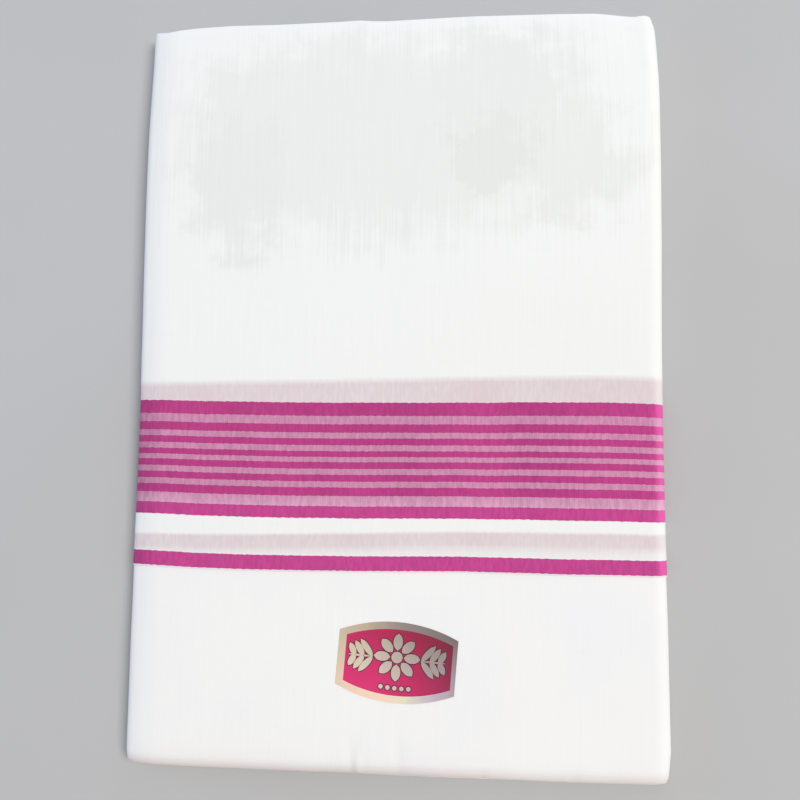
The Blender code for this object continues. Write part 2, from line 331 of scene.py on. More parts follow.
def left_start(place):
    """Where a layer's straight run begins on the left."""
    if place in (8, 9):
        return BUNDLES[place]
    bundle = max(k for k in LAYERS_IN_BUNDLE if k <= place)
    return BUNDLES[bundle] + LAYERS_IN_BUNDLE[bundle] * PITCH / 2


def run(place, rightwards, steps, outward):
    """Stations of a straight run, without its ends where turns follow."""
    x = np.linspace(left_start(place), SPINE_X, steps + 1)
    if not rightwards:
        x = x[::-1]
    return [(a, layer_z(place), 0.0, outward) for a in x]


def resample(stations):
    """Arrays of x, z, outward x, outward z and the length gone so far."""
    table = np.array(stations)
    keep = np.ones(len(table), bool)
    keep[1:] = np.hypot(*np.diff(table[:, :2], axis=0).T) > 1e-7
    table = table[keep]
    gone = np.concatenate([[0], np.cumsum(np.hypot(*np.diff(table[:, :2], axis=0).T))])
    return dict(x=table[:, 0], z=table[:, 1], nx=table[:, 2], nz=table[:, 3], gone=gone)


print("turns on the right:", [(PLACE[k - 1], PLACE[k]) for k in range(1, LAYERS, 2)])
print("turns on the left:", [(PLACE[k - 1], PLACE[k]) for k in range(2, LAYERS, 2)])

# %% [markdown]
# ## A sweep for cloth
#
# Each stretch of cloth is a closed section, drawn from the bottom edge to the top edge of the
# pack, that travels along the stations. Blender's Solidify could thicken a sheet instead, but the
# folded lips at the edges need their own rounded section, and a sweep gives them directly. It
# also writes the UV map: u along the strip and v from the selvedge, both in metres, so that a
# woven stripe stays on its threads wherever the cloth turns.

# %% Sweep a section along stations


def sweep(name, stations, section, edge_shift):
    """A closed mesh from a section (y, depth, v) carried along the stations."""
    y, depth, v = (np.array(c) for c in zip(*section))
    rows, count = len(stations["x"]), len(y)
    x = stations["x"][:, None] - depth * stations["nx"][:, None]
    z = stations["z"][:, None] - depth * stations["nz"][:, None]
    shifted = y + edge_shift(stations, y)
    points = settle(x, shifted, z).reshape(-1, 3)
    grid = np.arange(rows * count).reshape(rows, count)
    after = np.roll(grid, -1, axis=1)
    quads = np.stack([grid[:-1], after[:-1], after[1:], grid[1:]], axis=-1).reshape(-1, 4)
    faces = quads.tolist() + [grid[0].tolist(), grid[-1].tolist()[::-1]]
    mesh = bpy.data.meshes.new(name)
    mesh.from_pydata(points.tolist(), [], faces)
    uv_of_point = np.stack(np.broadcast_arrays(stations["gone"][:, None], v), axis=-1)
    uv_of_point = uv_of_point.reshape(-1, 2)
    uv_layer = mesh.uv_layers.new(name="cloth")
    corner_points = np.empty(len(mesh.loops), dtype=np.int32)
    mesh.loops.foreach_get("vertex_index", corner_points)
    uv_layer.data.foreach_set("uv", uv_of_point[corner_points].astype(np.float32).ravel())
    bm = bmesh.new()
    bm.from_mesh(mesh)
    bmesh.ops.triangulate(bm, faces=[f for f in bm.faces if len(f.verts) > 4])
    bmesh.ops.recalc_face_normals(bm, faces=bm.faces)
    if bm.calc_volume(signed=True) < 0:
        bmesh.ops.reverse_faces(bm, faces=bm.faces)
    bm.to_mesh(mesh)
    bm.free()
    mesh.shade_smooth()
    mesh.set_sharp_from_angle(angle=math.radians(55))
    piece = bpy.data.objects.new(name, mesh)
    scene.collection.objects.link(piece)
    print(f"{name}: {len(mesh.polygons)} faces, {stations['gone'][-1]:.3f} m along the strip")
    return piece


# %% [markdown]
# ## Lips of the folds
#
# At the top and bottom edges each layer ends in the lip of a fold. Straight lips would look like a
# cut block. In a real stack the outer layers reach less far than the middle ones, and no lip lies
# quite under the next. A curve and a slow wander move the ends of each section for that.

# %% How far the lips stand back
TOP_RECESS, BOTTOM_RECESS = 1.3 * MM, 1.7 * MM
LIP_WANDER = 0.45 * MM
EDGE_ZONE = 14 * MM


def stack_recess(z):
    """How far a layer's lip stands back because the stack's edge is rounded."""
    off_middle = 2 * z / THICKNESS - 1
    return off_middle ** 2


def wander(gone, seed):
    """A slow, uneven wander from -1 to 1 along the strip."""
    phase = gone / (83 * MM)
    return (0.6 * np.sin(phase + 1.3 * seed) + 0.3 * np.sin(2.7 * phase + 2.1 * seed)
            + 0.1 * np.sin(7.3 * phase + 0.4 * seed))


def lips_shift(stations, y):
    """Shift of the lips at both ends of the section, fading out away from the edges."""
    z, gone = stations["z"][:, None], stations["gone"][:, None]
    near_top = ease(HALF_LENGTH - EDGE_ZONE, HALF_LENGTH, y)
    near_bottom = ease(HALF_LENGTH - EDGE_ZONE, HALF_LENGTH, -y)
    top = TOP_RECESS * stack_recess(z) + LIP_WANDER * (1 + wander(gone, 1.0))
    bottom = BOTTOM_RECESS * stack_recess(z) + LIP_WANDER * (1 + wander(gone, 2.0))
    return near_bottom * bottom - near_top * top


def outer_shift(stations, y):
    """The outer cloth's lips only follow the rounded edge of the stack."""
    z = stations["z"][:, None]
    near_top = ease(HALF_LENGTH - EDGE_ZONE, HALF_LENGTH, y)
    near_bottom = ease(HALF_LENGTH - EDGE_ZONE, HALF_LENGTH, -y)
    recess = stack_recess(z)
    return near_bottom * BOTTOM_RECESS * recess - near_top * TOP_RECESS * recess


print(f"lips stand back by up to {(BOTTOM_RECESS + 2 * LIP_WANDER) / MM:.1f} mm")

# %% Steps along a section


def graded(low, high, coarse, fine):
    """Places from low to high: fine steps near the pack's ends, coarse ones between."""
    places = [low]
    while places[-1] < high:
        to_end = HALF_LENGTH - abs(places[-1])
        share = ease(0, 30 * MM, to_end)
        places.append(places[-1] + fine + (coarse - fine) * float(share))
    places[-1] = high
    if places[-1] - places[-2] < 0.3 * fine:
        places.pop(-2)
    return places


print("steps from end to end:", len(graded(-HALF_LENGTH, HALF_LENGTH, 34 * MM, 1.2 * MM)) - 1)

# %% [markdown]
# ## The inner layers
#
# The fourteen stretches between the outermost two are one continuous sheet, as in the real pack.
# At the top edge each layer is folded over once, so its lip is a full, round fold. At the bottom
# edge it is only the cloth's middle fold, thinner, with air between the lips. Fourteen loose slabs
# would be quicker to make, but at the sides they would lack the turns that join them.

# %% Section of a layer
LAYER_FILL = 0.90
TOP_LIP_FILL = 0.86
BOTTOM_LIP_FILL = 0.60
LIP_ROUND = 7


def layer_section(coarse, fine):
    """Closed section of one folded layer, its middle at depth 0."""
    top_half = TOP_LIP_FILL * PITCH / 2
    bottom_half = BOTTOM_LIP_FILL * PITCH / 2
    places = graded(-HALF_LENGTH + bottom_half, HALF_LENGTH - top_half, coarse, fine)

    def half_at(y):
        near_top = float(ease(HALF_LENGTH - 10 * MM, HALF_LENGTH, y))
        near_bottom = float(ease(HALF_LENGTH - 7 * MM, HALF_LENGTH, -y))
        share = LAYER_FILL + (TOP_LIP_FILL - LAYER_FILL) * near_top
        share += (BOTTOM_LIP_FILL - LAYER_FILL) * near_bottom
        return share * PITCH / 2

    outer = [(y, -half_at(y), y - SELVEDGE_Y) for y in places]
    inner = [(y, half_at(y), y - SELVEDGE_Y) for y in reversed(places)]
    top = [(places[-1] + top_half * math.cos(a), top_half * math.sin(a),
            places[-1] + top_half * math.cos(a) - SELVEDGE_Y)
           for a in np.linspace(-math.pi / 2, math.pi / 2, LIP_ROUND + 1)[1:-1]]
    bottom = [(places[0] - bottom_half * math.cos(a), bottom_half * math.sin(a),
               places[0] - bottom_half * math.cos(a) - SELVEDGE_Y)
              for a in np.linspace(math.pi / 2, -math.pi / 2, LIP_ROUND + 1)[1:-1]]
    return outer + top + inner + bottom


print("points round a layer's section:", len(layer_section(34 * MM, 1.2 * MM)))

# %% Sweep the inner layers


def chain(first, last, steps):
    """Stations from one stretch of the strip to a later one, with the turns between."""
    stations = []
    for stretch in range(first, last + 1):
        rightwards = stretch % 2 == 0
        outward = 1.0 if rightwards else -1.0
        stations += run(PLACE[stretch], rightwards, steps, outward)
        if stretch < last:
            side = 1 if rightwards else -1
            bend = turn(PLACE[stretch], PLACE[stretch + 1], side, 8)
            sign = outward * (1 if bend[0][3] > 0 else -1)
            stations += [(a, b, sign * c, sign * d) for a, b, c, d in bend[1:-1]]
    return resample(stations)


inner_parts = []
for first, last in ((0, 1), (4, 15)):
    inner_parts.append(sweep(f"inner_{first}", chain(first, last, 26),
                             layer_section(34 * MM, 1.2 * MM), lips_shift))

# %% [markdown]
# ## The outer cloth
#
# What shows is one stretch of cloth that starts in the bundle of folds on the left, crosses the
# front, goes round the spine and comes back on the underside. It could be one skin with a step
# modelled at the selvedge. It is made in two pieces instead, as the eye sees it: the flap with the
# border, folded over at the top edge, and the plain cloth under the flap, folded at the bottom
# edge. So the selvedge is a true edge with cloth below it.

# %% Stations of the outer cloth
FRONT_PLACES = 180   # close together, so that the narrow creases of the front show
BACK_PLACES = 70


def outer_stations():
    """From the left bundle over the front, round the spine and along the back."""
    half_ply = PITCH / 2
    stations = []
    for x, z, out_x, out_z in turn(7, 0, -1, 14)[:-1]:
        stations.append((x + half_ply * out_x, z + half_ply * out_z, out_x, out_z))
    for x in np.linspace(left_start(0), SPINE_X, FRONT_PLACES):
        stations.append((x, THICKNESS, 0.0, 1.0))
    for x, z, out_x, out_z in turn(0, 15, 1, 18)[1:-1]:
        stations.append((x + half_ply * out_x, z + half_ply * out_z, out_x, out_z))
    for x in np.linspace(SPINE_X, left_start(15), BACK_PLACES):
        stations.append((x, 0.0, 0.0, -1.0))
    for x, z, out_x, out_z in turn(15, 12, -1, 10)[1:]:
        stations.append((x + half_ply * out_x, z + half_ply * out_z, out_x, out_z))
    return resample(stations)


OUTER = outer_stations()
print(f"the outer cloth is {OUTER['gone'][-1]:.3f} m round")

# %% [markdown]
# ## Drift of the woven lines
#
# The stripes are straight on the loom and no longer quite straight on the pack, because the cloth
# is pulled a little as it is folded. Bending the stripes in the material would part them from the
# threads. The points of the flap are moved instead, and the stripes, selvedge and weave go along.

# %% How the woven lines drift
# Across the front, in mm: place, drift at the selvedge, drift at the border's top.
WOVEN_DRIFT = [(-125, -0.3, 1.0), (-112, -0.4, 0.9), (-92, -1.0, 0.4), (-68, -1.35, 0.05),
               (-45, -1.35, -0.25), (-25, -1.35, -0.35), (-6, -1.15, -0.3), (12, -1.0, -0.35),
               (31, -0.7, -0.05), (49, -0.8, -0.05), (72, -1.0, 0.0), (95, -1.1, 0.15),
               (108, -1.2, -0.15), (125, -1.5, -0.65)]


def flap_shift(stations, y):
    """The outer cloth's shift at its edges, and the slow drift of the woven border."""
    place, at_selvedge, at_top = (np.array(c) * MM for c in zip(*WOVEN_DRIFT))
    x = stations["x"][:, None]
    from_selvedge = y - SELVEDGE_Y
    share = np.clip(from_selvedge / (75 * MM), 0, 1)
    low, high = np.interp(x, place, at_selvedge), np.interp(x, place, at_top)
    fade = 1 - ease(85 * MM, 150 * MM, from_selvedge)
    return outer_shift(stations, y) + fade * (low + (high - low) * share)


print(f"the selvedge drifts by up to {max(abs(row[1]) for row in WOVEN_DRIFT):.1f} mm")

# %% Section of the flap
HIDDEN_RUN = 8 * MM
FLAP_FOLD = PITCH / 2 - 0.02 * MM


def flap_section():
    """Outer face from the selvedge to the top lip, over it, a short way back, and inside again."""
    fold_y = HALF_LENGTH - FLAP_FOLD
    outer = [(y, 0.0, y - SELVEDGE_Y) for y in graded(SELVEDGE_Y, fold_y, 2.6 * MM, 0.9 * MM)]
    last_v = fold_y - SELVEDGE_Y
    turns = np.linspace(-90, 90, 11)
    over = [(fold_y + FLAP_FOLD * math.cos(a), FLAP_FOLD + FLAP_FOLD * math.sin(a),
             last_v + FLAP_FOLD * (a + math.pi / 2)) for a in np.radians(turns[1:])]
    back_v = over[-1][2]
    tail = [(fold_y - s, 2 * FLAP_FOLD, back_v + s) for s in (0.5 * HIDDEN_RUN, HIDDEN_RUN)]
    inner_tail = [(y, d - PLY, v) for y, d, v in reversed(tail)]
    inner_fold = FLAP_FOLD - PLY
    under = [(fold_y + inner_fold * math.cos(a), FLAP_FOLD + inner_fold * math.sin(a),
              last_v + FLAP_FOLD * (a + math.pi / 2)) for a in np.radians(turns[::-1])]
    inner = [(y, PLY, v) for y, _, v in reversed(outer[:-1])]
    return outer + over + tail + inner_tail + under + inner


print("points round the flap's section:", len(flap_section()))

# %% Section of the plain cloth
UNDERLAP = 22 * MM
CLEARANCE = 0.06 * MM
STEP_EASE = 34 * MM
LEVEL_BELOW = 0.12 * MM


def plain_depth(y):
    """Depth of the plain cloth's face: under the flap, then easing up to the flap's level."""
    under = PLY + CLEARANCE
    rise = ease(SELVEDGE_Y - STEP_EASE, SELVEDGE_Y - 0.5 * MM, y)
    return LEVEL_BELOW + (under - LEVEL_BELOW) * rise


def plain_section():
    """Face from the bottom lip to a little way under the flap, and the inside of it."""
    fold = BOTTOM_LIP_FILL * PITCH / 2 + LEVEL_BELOW
    foot = -HALF_LENGTH + fold
    places = graded(foot, SELVEDGE_Y + UNDERLAP, 2.4 * MM, 0.9 * MM)
    outer = [(y, float(plain_depth(y)), y - SELVEDGE_Y) for y in places]
    inner = [(y, d + PLY, v) for y, d, v in reversed(outer)]
    turns = np.radians(np.linspace(90, 270, 11))
    first_v = foot - SELVEDGE_Y
    inner_fold = fold - PLY
    centre = fold + LEVEL_BELOW
    inside = [(foot + inner_fold * math.cos(a), centre - inner_fold * math.sin(a),
               first_v - fold * (a - math.pi / 2)) for a in turns]
    outside = [(foot + fold * math.cos(a), centre - fold * math.sin(a),
                first_v - fold * (a - math.pi / 2)) for a in turns[::-1]]
    return outer + inner[:-1] + inside + outside[:-1]


print("points round the plain cloth's section:", len(plain_section()))

# %% Sweep the outer cloth
border_flap_cloth = sweep("border_flap_cloth", OUTER, flap_section(), flap_shift)
plain_cloth_below = sweep("plain_cloth_below", OUTER, plain_section(), outer_shift)

# %% Join the inner layers
bpy.ops.object.select_all(action="DESELECT")
for part in inner_parts:
    part.select_set(True)
bpy.context.view_layer.objects.active = inner_parts[0]
bpy.ops.object.join()
folded_layers = inner_parts[0]
folded_layers.name = "folded_layers"
print(f"folded_layers: {len(folded_layers.data.polygons)} faces")

# %% [markdown]
# ## The foil label
#
# The label is a thin plate with straight sides and bowed top and bottom, stuck on a little
# askew. A stiff plate cut from a rounded block would stand off the soft cloth at its ends. So the
# label starts as a grid: the grid's points are moved to the barrel outline first, then turned, and
# last set down on the cloth.

# %% Outline and place of the label
LABEL_WIDTH, LABEL_SIDE, LABEL_MIDDLE = 54.6 * MM, 24.4 * MM, 36.1 * MM
LABEL_CENTRE = (1.95 * MM, -130.35 * MM)
LABEL_TURN = math.radians(-4.45)
FRAME_SIDE, FRAME_END = 2.75 * MM, 3.3 * MM
PRINT_SHIFT = 0.65 * MM   # the panel is printed a little to the right of the label's middle
LABEL_THICKNESS = 0.22 * MM


def barrel_half_height(across):
    """Half height of the label at a place across it."""
    half = LABEL_WIDTH / 2
    sagitta = (LABEL_MIDDLE - LABEL_SIDE) / 2
    radius = (half ** 2 + sagitta ** 2) / (2 * sagitta)
    return LABEL_SIDE / 2 + sagitta - radius + np.sqrt(radius ** 2 - across ** 2)


def on_label(across, up, lift):
    """Points of the label, turned and set down on the cloth."""
    cos_turn, sin_turn = math.cos(LABEL_TURN), math.sin(LABEL_TURN)
    x = LABEL_CENTRE[0] + across * cos_turn - up * sin_turn
    y = LABEL_CENTRE[1] + across * sin_turn + up * cos_turn
    points = settle(x, y, THICKNESS - plain_depth(y))
    points[..., 2] += lift
    return points


def set_down(piece):
    """Move a flat piece's points, drawn in the label's own axes, onto the cloth."""
    mesh = piece.data
    flat = np.empty(len(mesh.vertices) * 3)
    mesh.vertices.foreach_get("co", flat)
    flat = flat.reshape(-1, 3)
    placed = on_label(flat[:, 0], flat[:, 1], flat[:, 2])
    mesh.vertices.foreach_set("co", placed.ravel())
    mesh.update()


def grid_lines(half, frame_width, shift, steps):
    """Places from -half to half with a line at both inner edges of the frame."""
    inner = np.linspace(frame_width - half, half - frame_width, steps) + shift
    return np.concatenate([[-half], inner, [half]])


print(f"label {LABEL_WIDTH / MM:.1f} x {LABEL_MIDDLE / MM:.1f} mm")

# %% Label plate
ACROSS_LINES, UP_LINES = 24, 12
bpy.ops.object.select_all(action="DESELECT")
bpy.ops.mesh.primitive_grid_add(x_subdivisions=ACROSS_LINES, y_subdivisions=UP_LINES, size=2)
foil_sticker = bpy.context.object
foil_sticker.name = foil_sticker.data.name = "foil_sticker"
across_places = grid_lines(LABEL_WIDTH / 2, FRAME_SIDE, PRINT_SHIFT, ACROSS_LINES - 1)
for vertex in foil_sticker.data.vertices:
    i = round((vertex.co.x + 1) / 2 * ACROSS_LINES)
    j = round((vertex.co.y + 1) / 2 * UP_LINES)
    across = across_places[i]
    half = float(barrel_half_height(across))
    up = grid_lines(half, FRAME_END, 0.0, UP_LINES - 1)[j]
    vertex.co = (across, up, 0)
print("label plate:", len(foil_sticker.data.vertices), "points within the barrel outline")

# %% Give the label its thickness
bpy.ops.object.mode_set(mode="EDIT")
bpy.ops.mesh.select_all(action="SELECT")
bpy.ops.mesh.extrude_region_move(TRANSFORM_OT_translate={"value": (0, 0, LABEL_THICKNESS)})
bpy.ops.mesh.select_all(action="SELECT")
bpy.ops.mesh.normals_make_consistent(inside=False)
bpy.ops.object.mode_set(mode="OBJECT")
PANEL_SLOT = 1


def on_panel(across, up):
    """True inside the printed panel, which has the label's outline, one frame width in."""
    inside_across = abs(across - PRINT_SHIFT) < LABEL_WIDTH / 2 - FRAME_SIDE
    return inside_across and abs(up) < float(barrel_half_height(across)) - FRAME_END


panel_faces = [f.index for f in foil_sticker.data.polygons
               if f.normal.z > 0.9 and on_panel(f.center.x, f.center.y)]
set_down(foil_sticker)
print("faces of the printed panel:", len(panel_faces))

# %% [markdown]
# ## The figure on the label
#
# The figure is printed foil, a little raised. One petal is a circle that is stretched and drawn
# out at its tips, and the rosette is the same petal turned eight times. A dark copy, slightly
# larger, lies under each shape and gives the thin printed outline. Drawing the figure in the
# material would also work, but real shapes catch the light along their edges.

# %% One petal
FIGURE_RAISE, OUTLINE_RAISE = 0.07 * MM, 0.03 * MM
OUTLINE_WIDTH = 0.45 * MM


def petal(name, middle, size, angle, raised, tip=1.25):
    """A flat leaf shape: a stretched circle whose two end points are drawn out."""
    bpy.ops.object.select_all(action="DESELECT")
    bpy.ops.mesh.primitive_circle_add(vertices=20, radius=0.5, fill_type="NGON")
    piece = bpy.context.object
    piece.name = piece.data.name = name
    bpy.ops.object.mode_set(mode="EDIT")
    bpy.ops.mesh.select_mode(type="VERT")
    bpy.ops.mesh.select_all(action="DESELECT")
    bpy.ops.object.mode_set(mode="OBJECT")
    for vertex in piece.data.vertices:
        vertex.select = abs(abs(vertex.co.y) - 0.5) < 1e-4
    bpy.ops.object.mode_set(mode="EDIT")
    bpy.ops.transform.resize(value=(1, tip, 1))
    bpy.ops.mesh.select_all(action="SELECT")
    bpy.ops.transform.resize(value=(size[0], size[1], 1))
    bpy.ops.transform.rotate(value=-angle, orient_axis="Z", center_override=(0, 0, 0))
    bpy.ops.transform.translate(value=(middle[0], middle[1], LABEL_THICKNESS))
    bpy.ops.mesh.extrude_region_move(TRANSFORM_OT_translate={"value": (0, 0, raised)})
    bpy.ops.mesh.select_all(action="SELECT")
    bpy.ops.mesh.normals_make_consistent(inside=False)
    bpy.ops.object.mode_set(mode="OBJECT")
    return piece


print(f"the figure stands {FIGURE_RAISE / MM:.2f} mm out of the label")

# %% Plan of the figure
ROSETTE_UP = 2.3 * MM
ROSETTE_REACH = 6.9 * MM


def figure_parts():
    """Middle, size, angle and tip of every shape of the figure, in metres and radians."""
    parts = [((0, ROSETTE_UP), (5.2 * MM, 5.2 * MM), 0, 1.0)]
    for k in range(8):
        angle = math.radians(45 * k)
        middle = (-ROSETTE_REACH * math.sin(angle), ROSETTE_UP + ROSETTE_REACH * math.cos(angle))
        parts.append((middle, (4.3 * MM, 6.9 * MM), angle, 1.12))
    for side in (-1, 1):
        for k in range(3):
            foot = side * (13.0 + 3.2 * k) * MM
            lean = math.radians(50 + 6 * k)
            long = (8.6 - 1.5 * k) * MM
            for up in (-1, 1):
                middle = (foot + side * 1.2 * MM, ROSETTE_UP - 0.6 * MM + up * long * 0.42)
                parts.append((middle, (2.9 * MM, long), -side * up * (math.pi / 2 - lean), 1.15))
        parts.append(((side * 16.9 * MM, ROSETTE_UP - 0.6 * MM), (0.9 * MM, 10.5 * MM),
                      math.pi / 2, 1.1))
    for k in range(-2, 3):
        middle = (3.2 * k * MM, -11.4 * MM + 0.06 * MM * k * k)
        parts.append((middle, (2.1 * MM, 2.1 * MM), 0, 1.0))
    return parts


print("shapes in the figure:", len(figure_parts()))

# %% Print the figure
foil_shapes, outline_shapes = [], []
for index, (middle, size, angle, tip) in enumerate(figure_parts()):
    larger = (size[0] + 2 * OUTLINE_WIDTH, size[1] + 2 * OUTLINE_WIDTH)
    foil_shapes.append(petal(f"shape_{index}", middle, size, angle, FIGURE_RAISE, tip))
    outline_shapes.append(petal(f"rim_{index}", middle, larger, angle, OUTLINE_RAISE, tip))


def join(shapes, name):
    """Join shapes into one piece and set it down on the label."""
    bpy.ops.object.select_all(action="DESELECT")
    for shape in shapes:
        shape.select_set(True)
    bpy.context.view_layer.objects.active = shapes[0]
    bpy.ops.object.join()
    shapes[0].name = shapes[0].data.name = name
    set_down(shapes[0])
    return shapes[0]


sticker_figure = join(foil_shapes, "sticker_figure")
sticker_outline = join(outline_shapes, "sticker_outline")
print("figure:", len(sticker_figure.data.polygons), "faces")

# %% [markdown]
# ## A helper for materials
#
# Every material below is a network of nodes. They could be placed and joined by hand in the shader
# editor. One small function does it here: it adds a node, sets its settings, and links or fills
# its inputs, so a recipe reads from top to bottom like a list of steps.

# %% Node helper and colours


def add(tree, kind, inputs=None, stops=(), steps="LINEAR", **settings):
    """Add a node. Inputs are other nodes' sockets or plain values, stops a ramp's colours."""
    new_node = tree.nodes.new(kind)
    for name, value in settings.items():
        setattr(new_node, name, value)
    for name, value in (inputs or {}).items():
        if isinstance(value, bpy.types.NodeSocket):
            tree.links.new(value, new_node.inputs[name])
        else:
            new_node.inputs[name].default_value = value
    if stops:
        new_node.color_ramp.interpolation = steps
        elements = new_node.color_ramp.elements
        while len(elements) < len(stops):
            elements.new(1.0)
        for element, (place, colour) in zip(elements, stops):
            element.position = place
            element.color = colour
    return new_node


def hex_colour(code):
    """A linear colour from an sRGB hex code."""
    channels = [int(code[k:k + 2], 16) / 255 for k in (1, 3, 5)]
    linear = [c / 12.92 if c <= 0.04045 else ((c + 0.055) / 1.055) ** 2.4 for c in channels]
    return (*linear, 1.0)


def new_material(name):
    """An empty material and its node tree, with an output."""
    material = bpy.data.materials.new(name)
    material.use_nodes = True
    material.node_tree.nodes.clear()
    output = add(material.node_tree, "ShaderNodeOutputMaterial")
    return material, material.node_tree, output


print("middle grey in linear light:", round(hex_colour("#808080")[0], 3))

# %% [markdown]
# ## Cotton
#
# Dhoti cotton is a fine plain weave, singed and calendered, so it is matt with a faint bloom and
# almost no gloss. Its threads lie about 0.36 mm apart, which is less than a pixel here, so the
# weave is drawn at twice that. What the eye does see is unevenness: thicker threads, slow
# changes of tone, and greyer patches where the layers cling together. A photographed cloth would
# repeat and would need its own lighting taken out, so the threads are computed from their spacing.
# Every pattern below has its size in millimetres, and its scale is one over that size.

# %% Shared weave nodes
THREAD = 0.72 * MM   # twice the real spacing of 0.36 mm, so that the weave shows at all
PIN = 1.06 * MM   # pin lines across the coloured bands: one for three real threads of the weft
SLUB_WIDTH, SLUB_LENGTH = MM / 0.9, MM / 0.022   # a thick place in a thread: 1.1 mm by 45 mm
SCALLOP, SCALLOP_DEPTH = 4.07 * MM, 0.06 * MM   # a stripe's edge steps in and out this often


def weave_nodes(tree):
    """The cloth's own coordinates, the weave's height and its slow unevenness."""
    uv = add(tree, "ShaderNodeUVMap", uv_map="cloth").outputs["UV"]
    split = add(tree, "ShaderNodeSeparateXYZ", {0: uv})
    u, v = split.outputs["X"], split.outputs["Y"]
    phase_u = add(tree, "ShaderNodeMath", {0: u, 1: math.pi / THREAD}, operation="MULTIPLY")
    phase_v = add(tree, "ShaderNodeMath", {0: v, 1: math.pi / THREAD}, operation="MULTIPLY")
    wave_u = add(tree, "ShaderNodeMath", {0: phase_u.outputs[0]}, operation="SINE")
    wave_v = add(tree, "ShaderNodeMath", {0: phase_v.outputs[0]}, operation="SINE")
    weave = add(tree, "ShaderNodeMath", {0: wave_u.outputs[0], 1: wave_v.outputs[0]},
                operation="MULTIPLY")
    # The warp runs along u and the weft along v. The weft's yarn is the less even of the two.
    weft_map = add(tree, "ShaderNodeMapping", {"Vector": uv, "Scale": (
        1 / SLUB_WIDTH, 1 / SLUB_LENGTH, 1)})
    warp_map = add(tree, "ShaderNodeMapping", {"Vector": uv, "Scale": (
        1 / SLUB_LENGTH, 1 / SLUB_WIDTH, 1)})
    weft_slub = add(tree, "ShaderNodeTexNoise", {"Vector": weft_map.outputs[0], "Scale": 1.0,
                                                 "Detail": 2.0}, noise_dimensions="2D")
    warp_slub = add(tree, "ShaderNodeTexNoise", {"Vector": warp_map.outputs[0], "Scale": 1.0,
                                                 "Detail": 2.0}, noise_dimensions="2D")
    slubs = add(tree, "ShaderNodeMath", {0: warp_slub.outputs["Fac"], 1: 0.45,
                                         2: weft_slub.outputs["Fac"]},
                operation="MULTIPLY_ADD")
    return dict(uv=uv, u=u, v=v, weave=weave.outputs[0], slubs=slubs.outputs[0],
                weft_slub=weft_slub.outputs["Fac"])


print(f"threads drawn every {THREAD / MM:.2f} mm, thick places {SLUB_WIDTH / MM:.1f} mm wide and",
      f"{SLUB_LENGTH / MM:.0f} mm long")

# %% Surface of cotton


def cotton_surface(tree, output, colour, threads, bump=0.35):
    """Matt cotton: a rough base with a light bloom, and the weave as a low bump."""
    height = add(tree, "ShaderNodeMath", {0: threads["weave"], 1: 0.12, 2: threads["slubs"]},
                 operation="MULTIPLY_ADD")
    relief_node = add(tree, "ShaderNodeBump", {"Height": height.outputs[0], "Strength": bump,
                                               "Distance": 0.05 * MM})
    roughness = add(tree, "ShaderNodeMapRange", {"Value": threads["slubs"], "From Min": 0.5,
                                                 "From Max": 1.0, "To Min": 0.82,
                                                 "To Max": 0.94})
    shader = add(tree, "ShaderNodeBsdfPrincipled", {
        "Base Color": colour, "Roughness": roughness.outputs[0], "IOR": 1.46,
        "Specular IOR Level": 0.25, "Sheen Weight": 0.12, "Sheen Roughness": 0.5,
        "Normal": relief_node.outputs[0]})
    tree.links.new(shader.outputs[0], output.inputs["Surface"])


def toned(tree, colour, threads, amount):
    """Colour with the threads' small changes of tone."""
    tone = add(tree, "ShaderNodeMapRange", {"Value": threads["slubs"], "From Min": 0.4,
                                            "From Max": 1.05, "To Min": 1 - amount,
                                            "To Max": 1 + amount})
    scaled = add(tree, "ShaderNodeVectorMath", {0: colour, "Scale": tone.outputs[0]},
                 operation="SCALE")
    return scaled.outputs[0]


def left_fold_painted_shade(tree, colour, threads):
    """Colour with a faint painted bluish-grey shade along the bundled folds on the left."""
    place = add(tree, "ShaderNodeMapRange", {"Value": threads["u"], "From Min": 7 * MM,
                                             "From Max": 21 * MM})
    shade = add(tree, "ShaderNodeValToRGB", {"Fac": place.outputs[0]}, stops=[
        (0.00, hex_colour("#FAFCFF")), (0.22, hex_colour("#F5F6F9")), (0.42, hex_colour("#F5F7FA")),
        (0.65, hex_colour("#FAFBFD")), (1.00, hex_colour("#FFFFFF"))])
    product = add(tree, "ShaderNodeVectorMath", {0: colour, 1: shade.outputs["Color"]},
                  operation="MULTIPLY")
    return product.outputs[0]


WHITE, CLINGING = "#ECEDEA", "#E0E1DD"
print(f"white {WHITE}, where the layers cling {CLINGING}")

# %% [markdown]
# ### Plain cotton below the flap
#
# Below the selvedge the cloth is a bleached plain weave and nothing more. One flat white would do
# from far off. A slow cloud of two whites is used here, with a painted pinkish shade along the
# bottom fold, where the rounded fold turns away from the light, because that shade is what tells
# the eye that the edge is a soft fold.

# %% Plain cotton
WHITE_BELOW = "#EEEEEB"
WHITE_CLOUD = MM / 0.011   # slow changes of the white, about 91 mm across
plain_cotton, tree, output = new_material("bleached_cotton_plain_weave")
threads = weave_nodes(tree)
cloud = add(tree, "ShaderNodeTexNoise", {"Vector": threads["uv"], "Scale": 1 / WHITE_CLOUD,
                                         "Detail": 3.0}, noise_dimensions="2D")
white_cloud = add(tree, "ShaderNodeValToRGB", {"Fac": cloud.outputs["Fac"]}, stops=[
    (0.28, hex_colour("#ECEBEC")), (0.58, hex_colour(WHITE_BELOW))])
print("nodes so far:", len(tree.nodes))
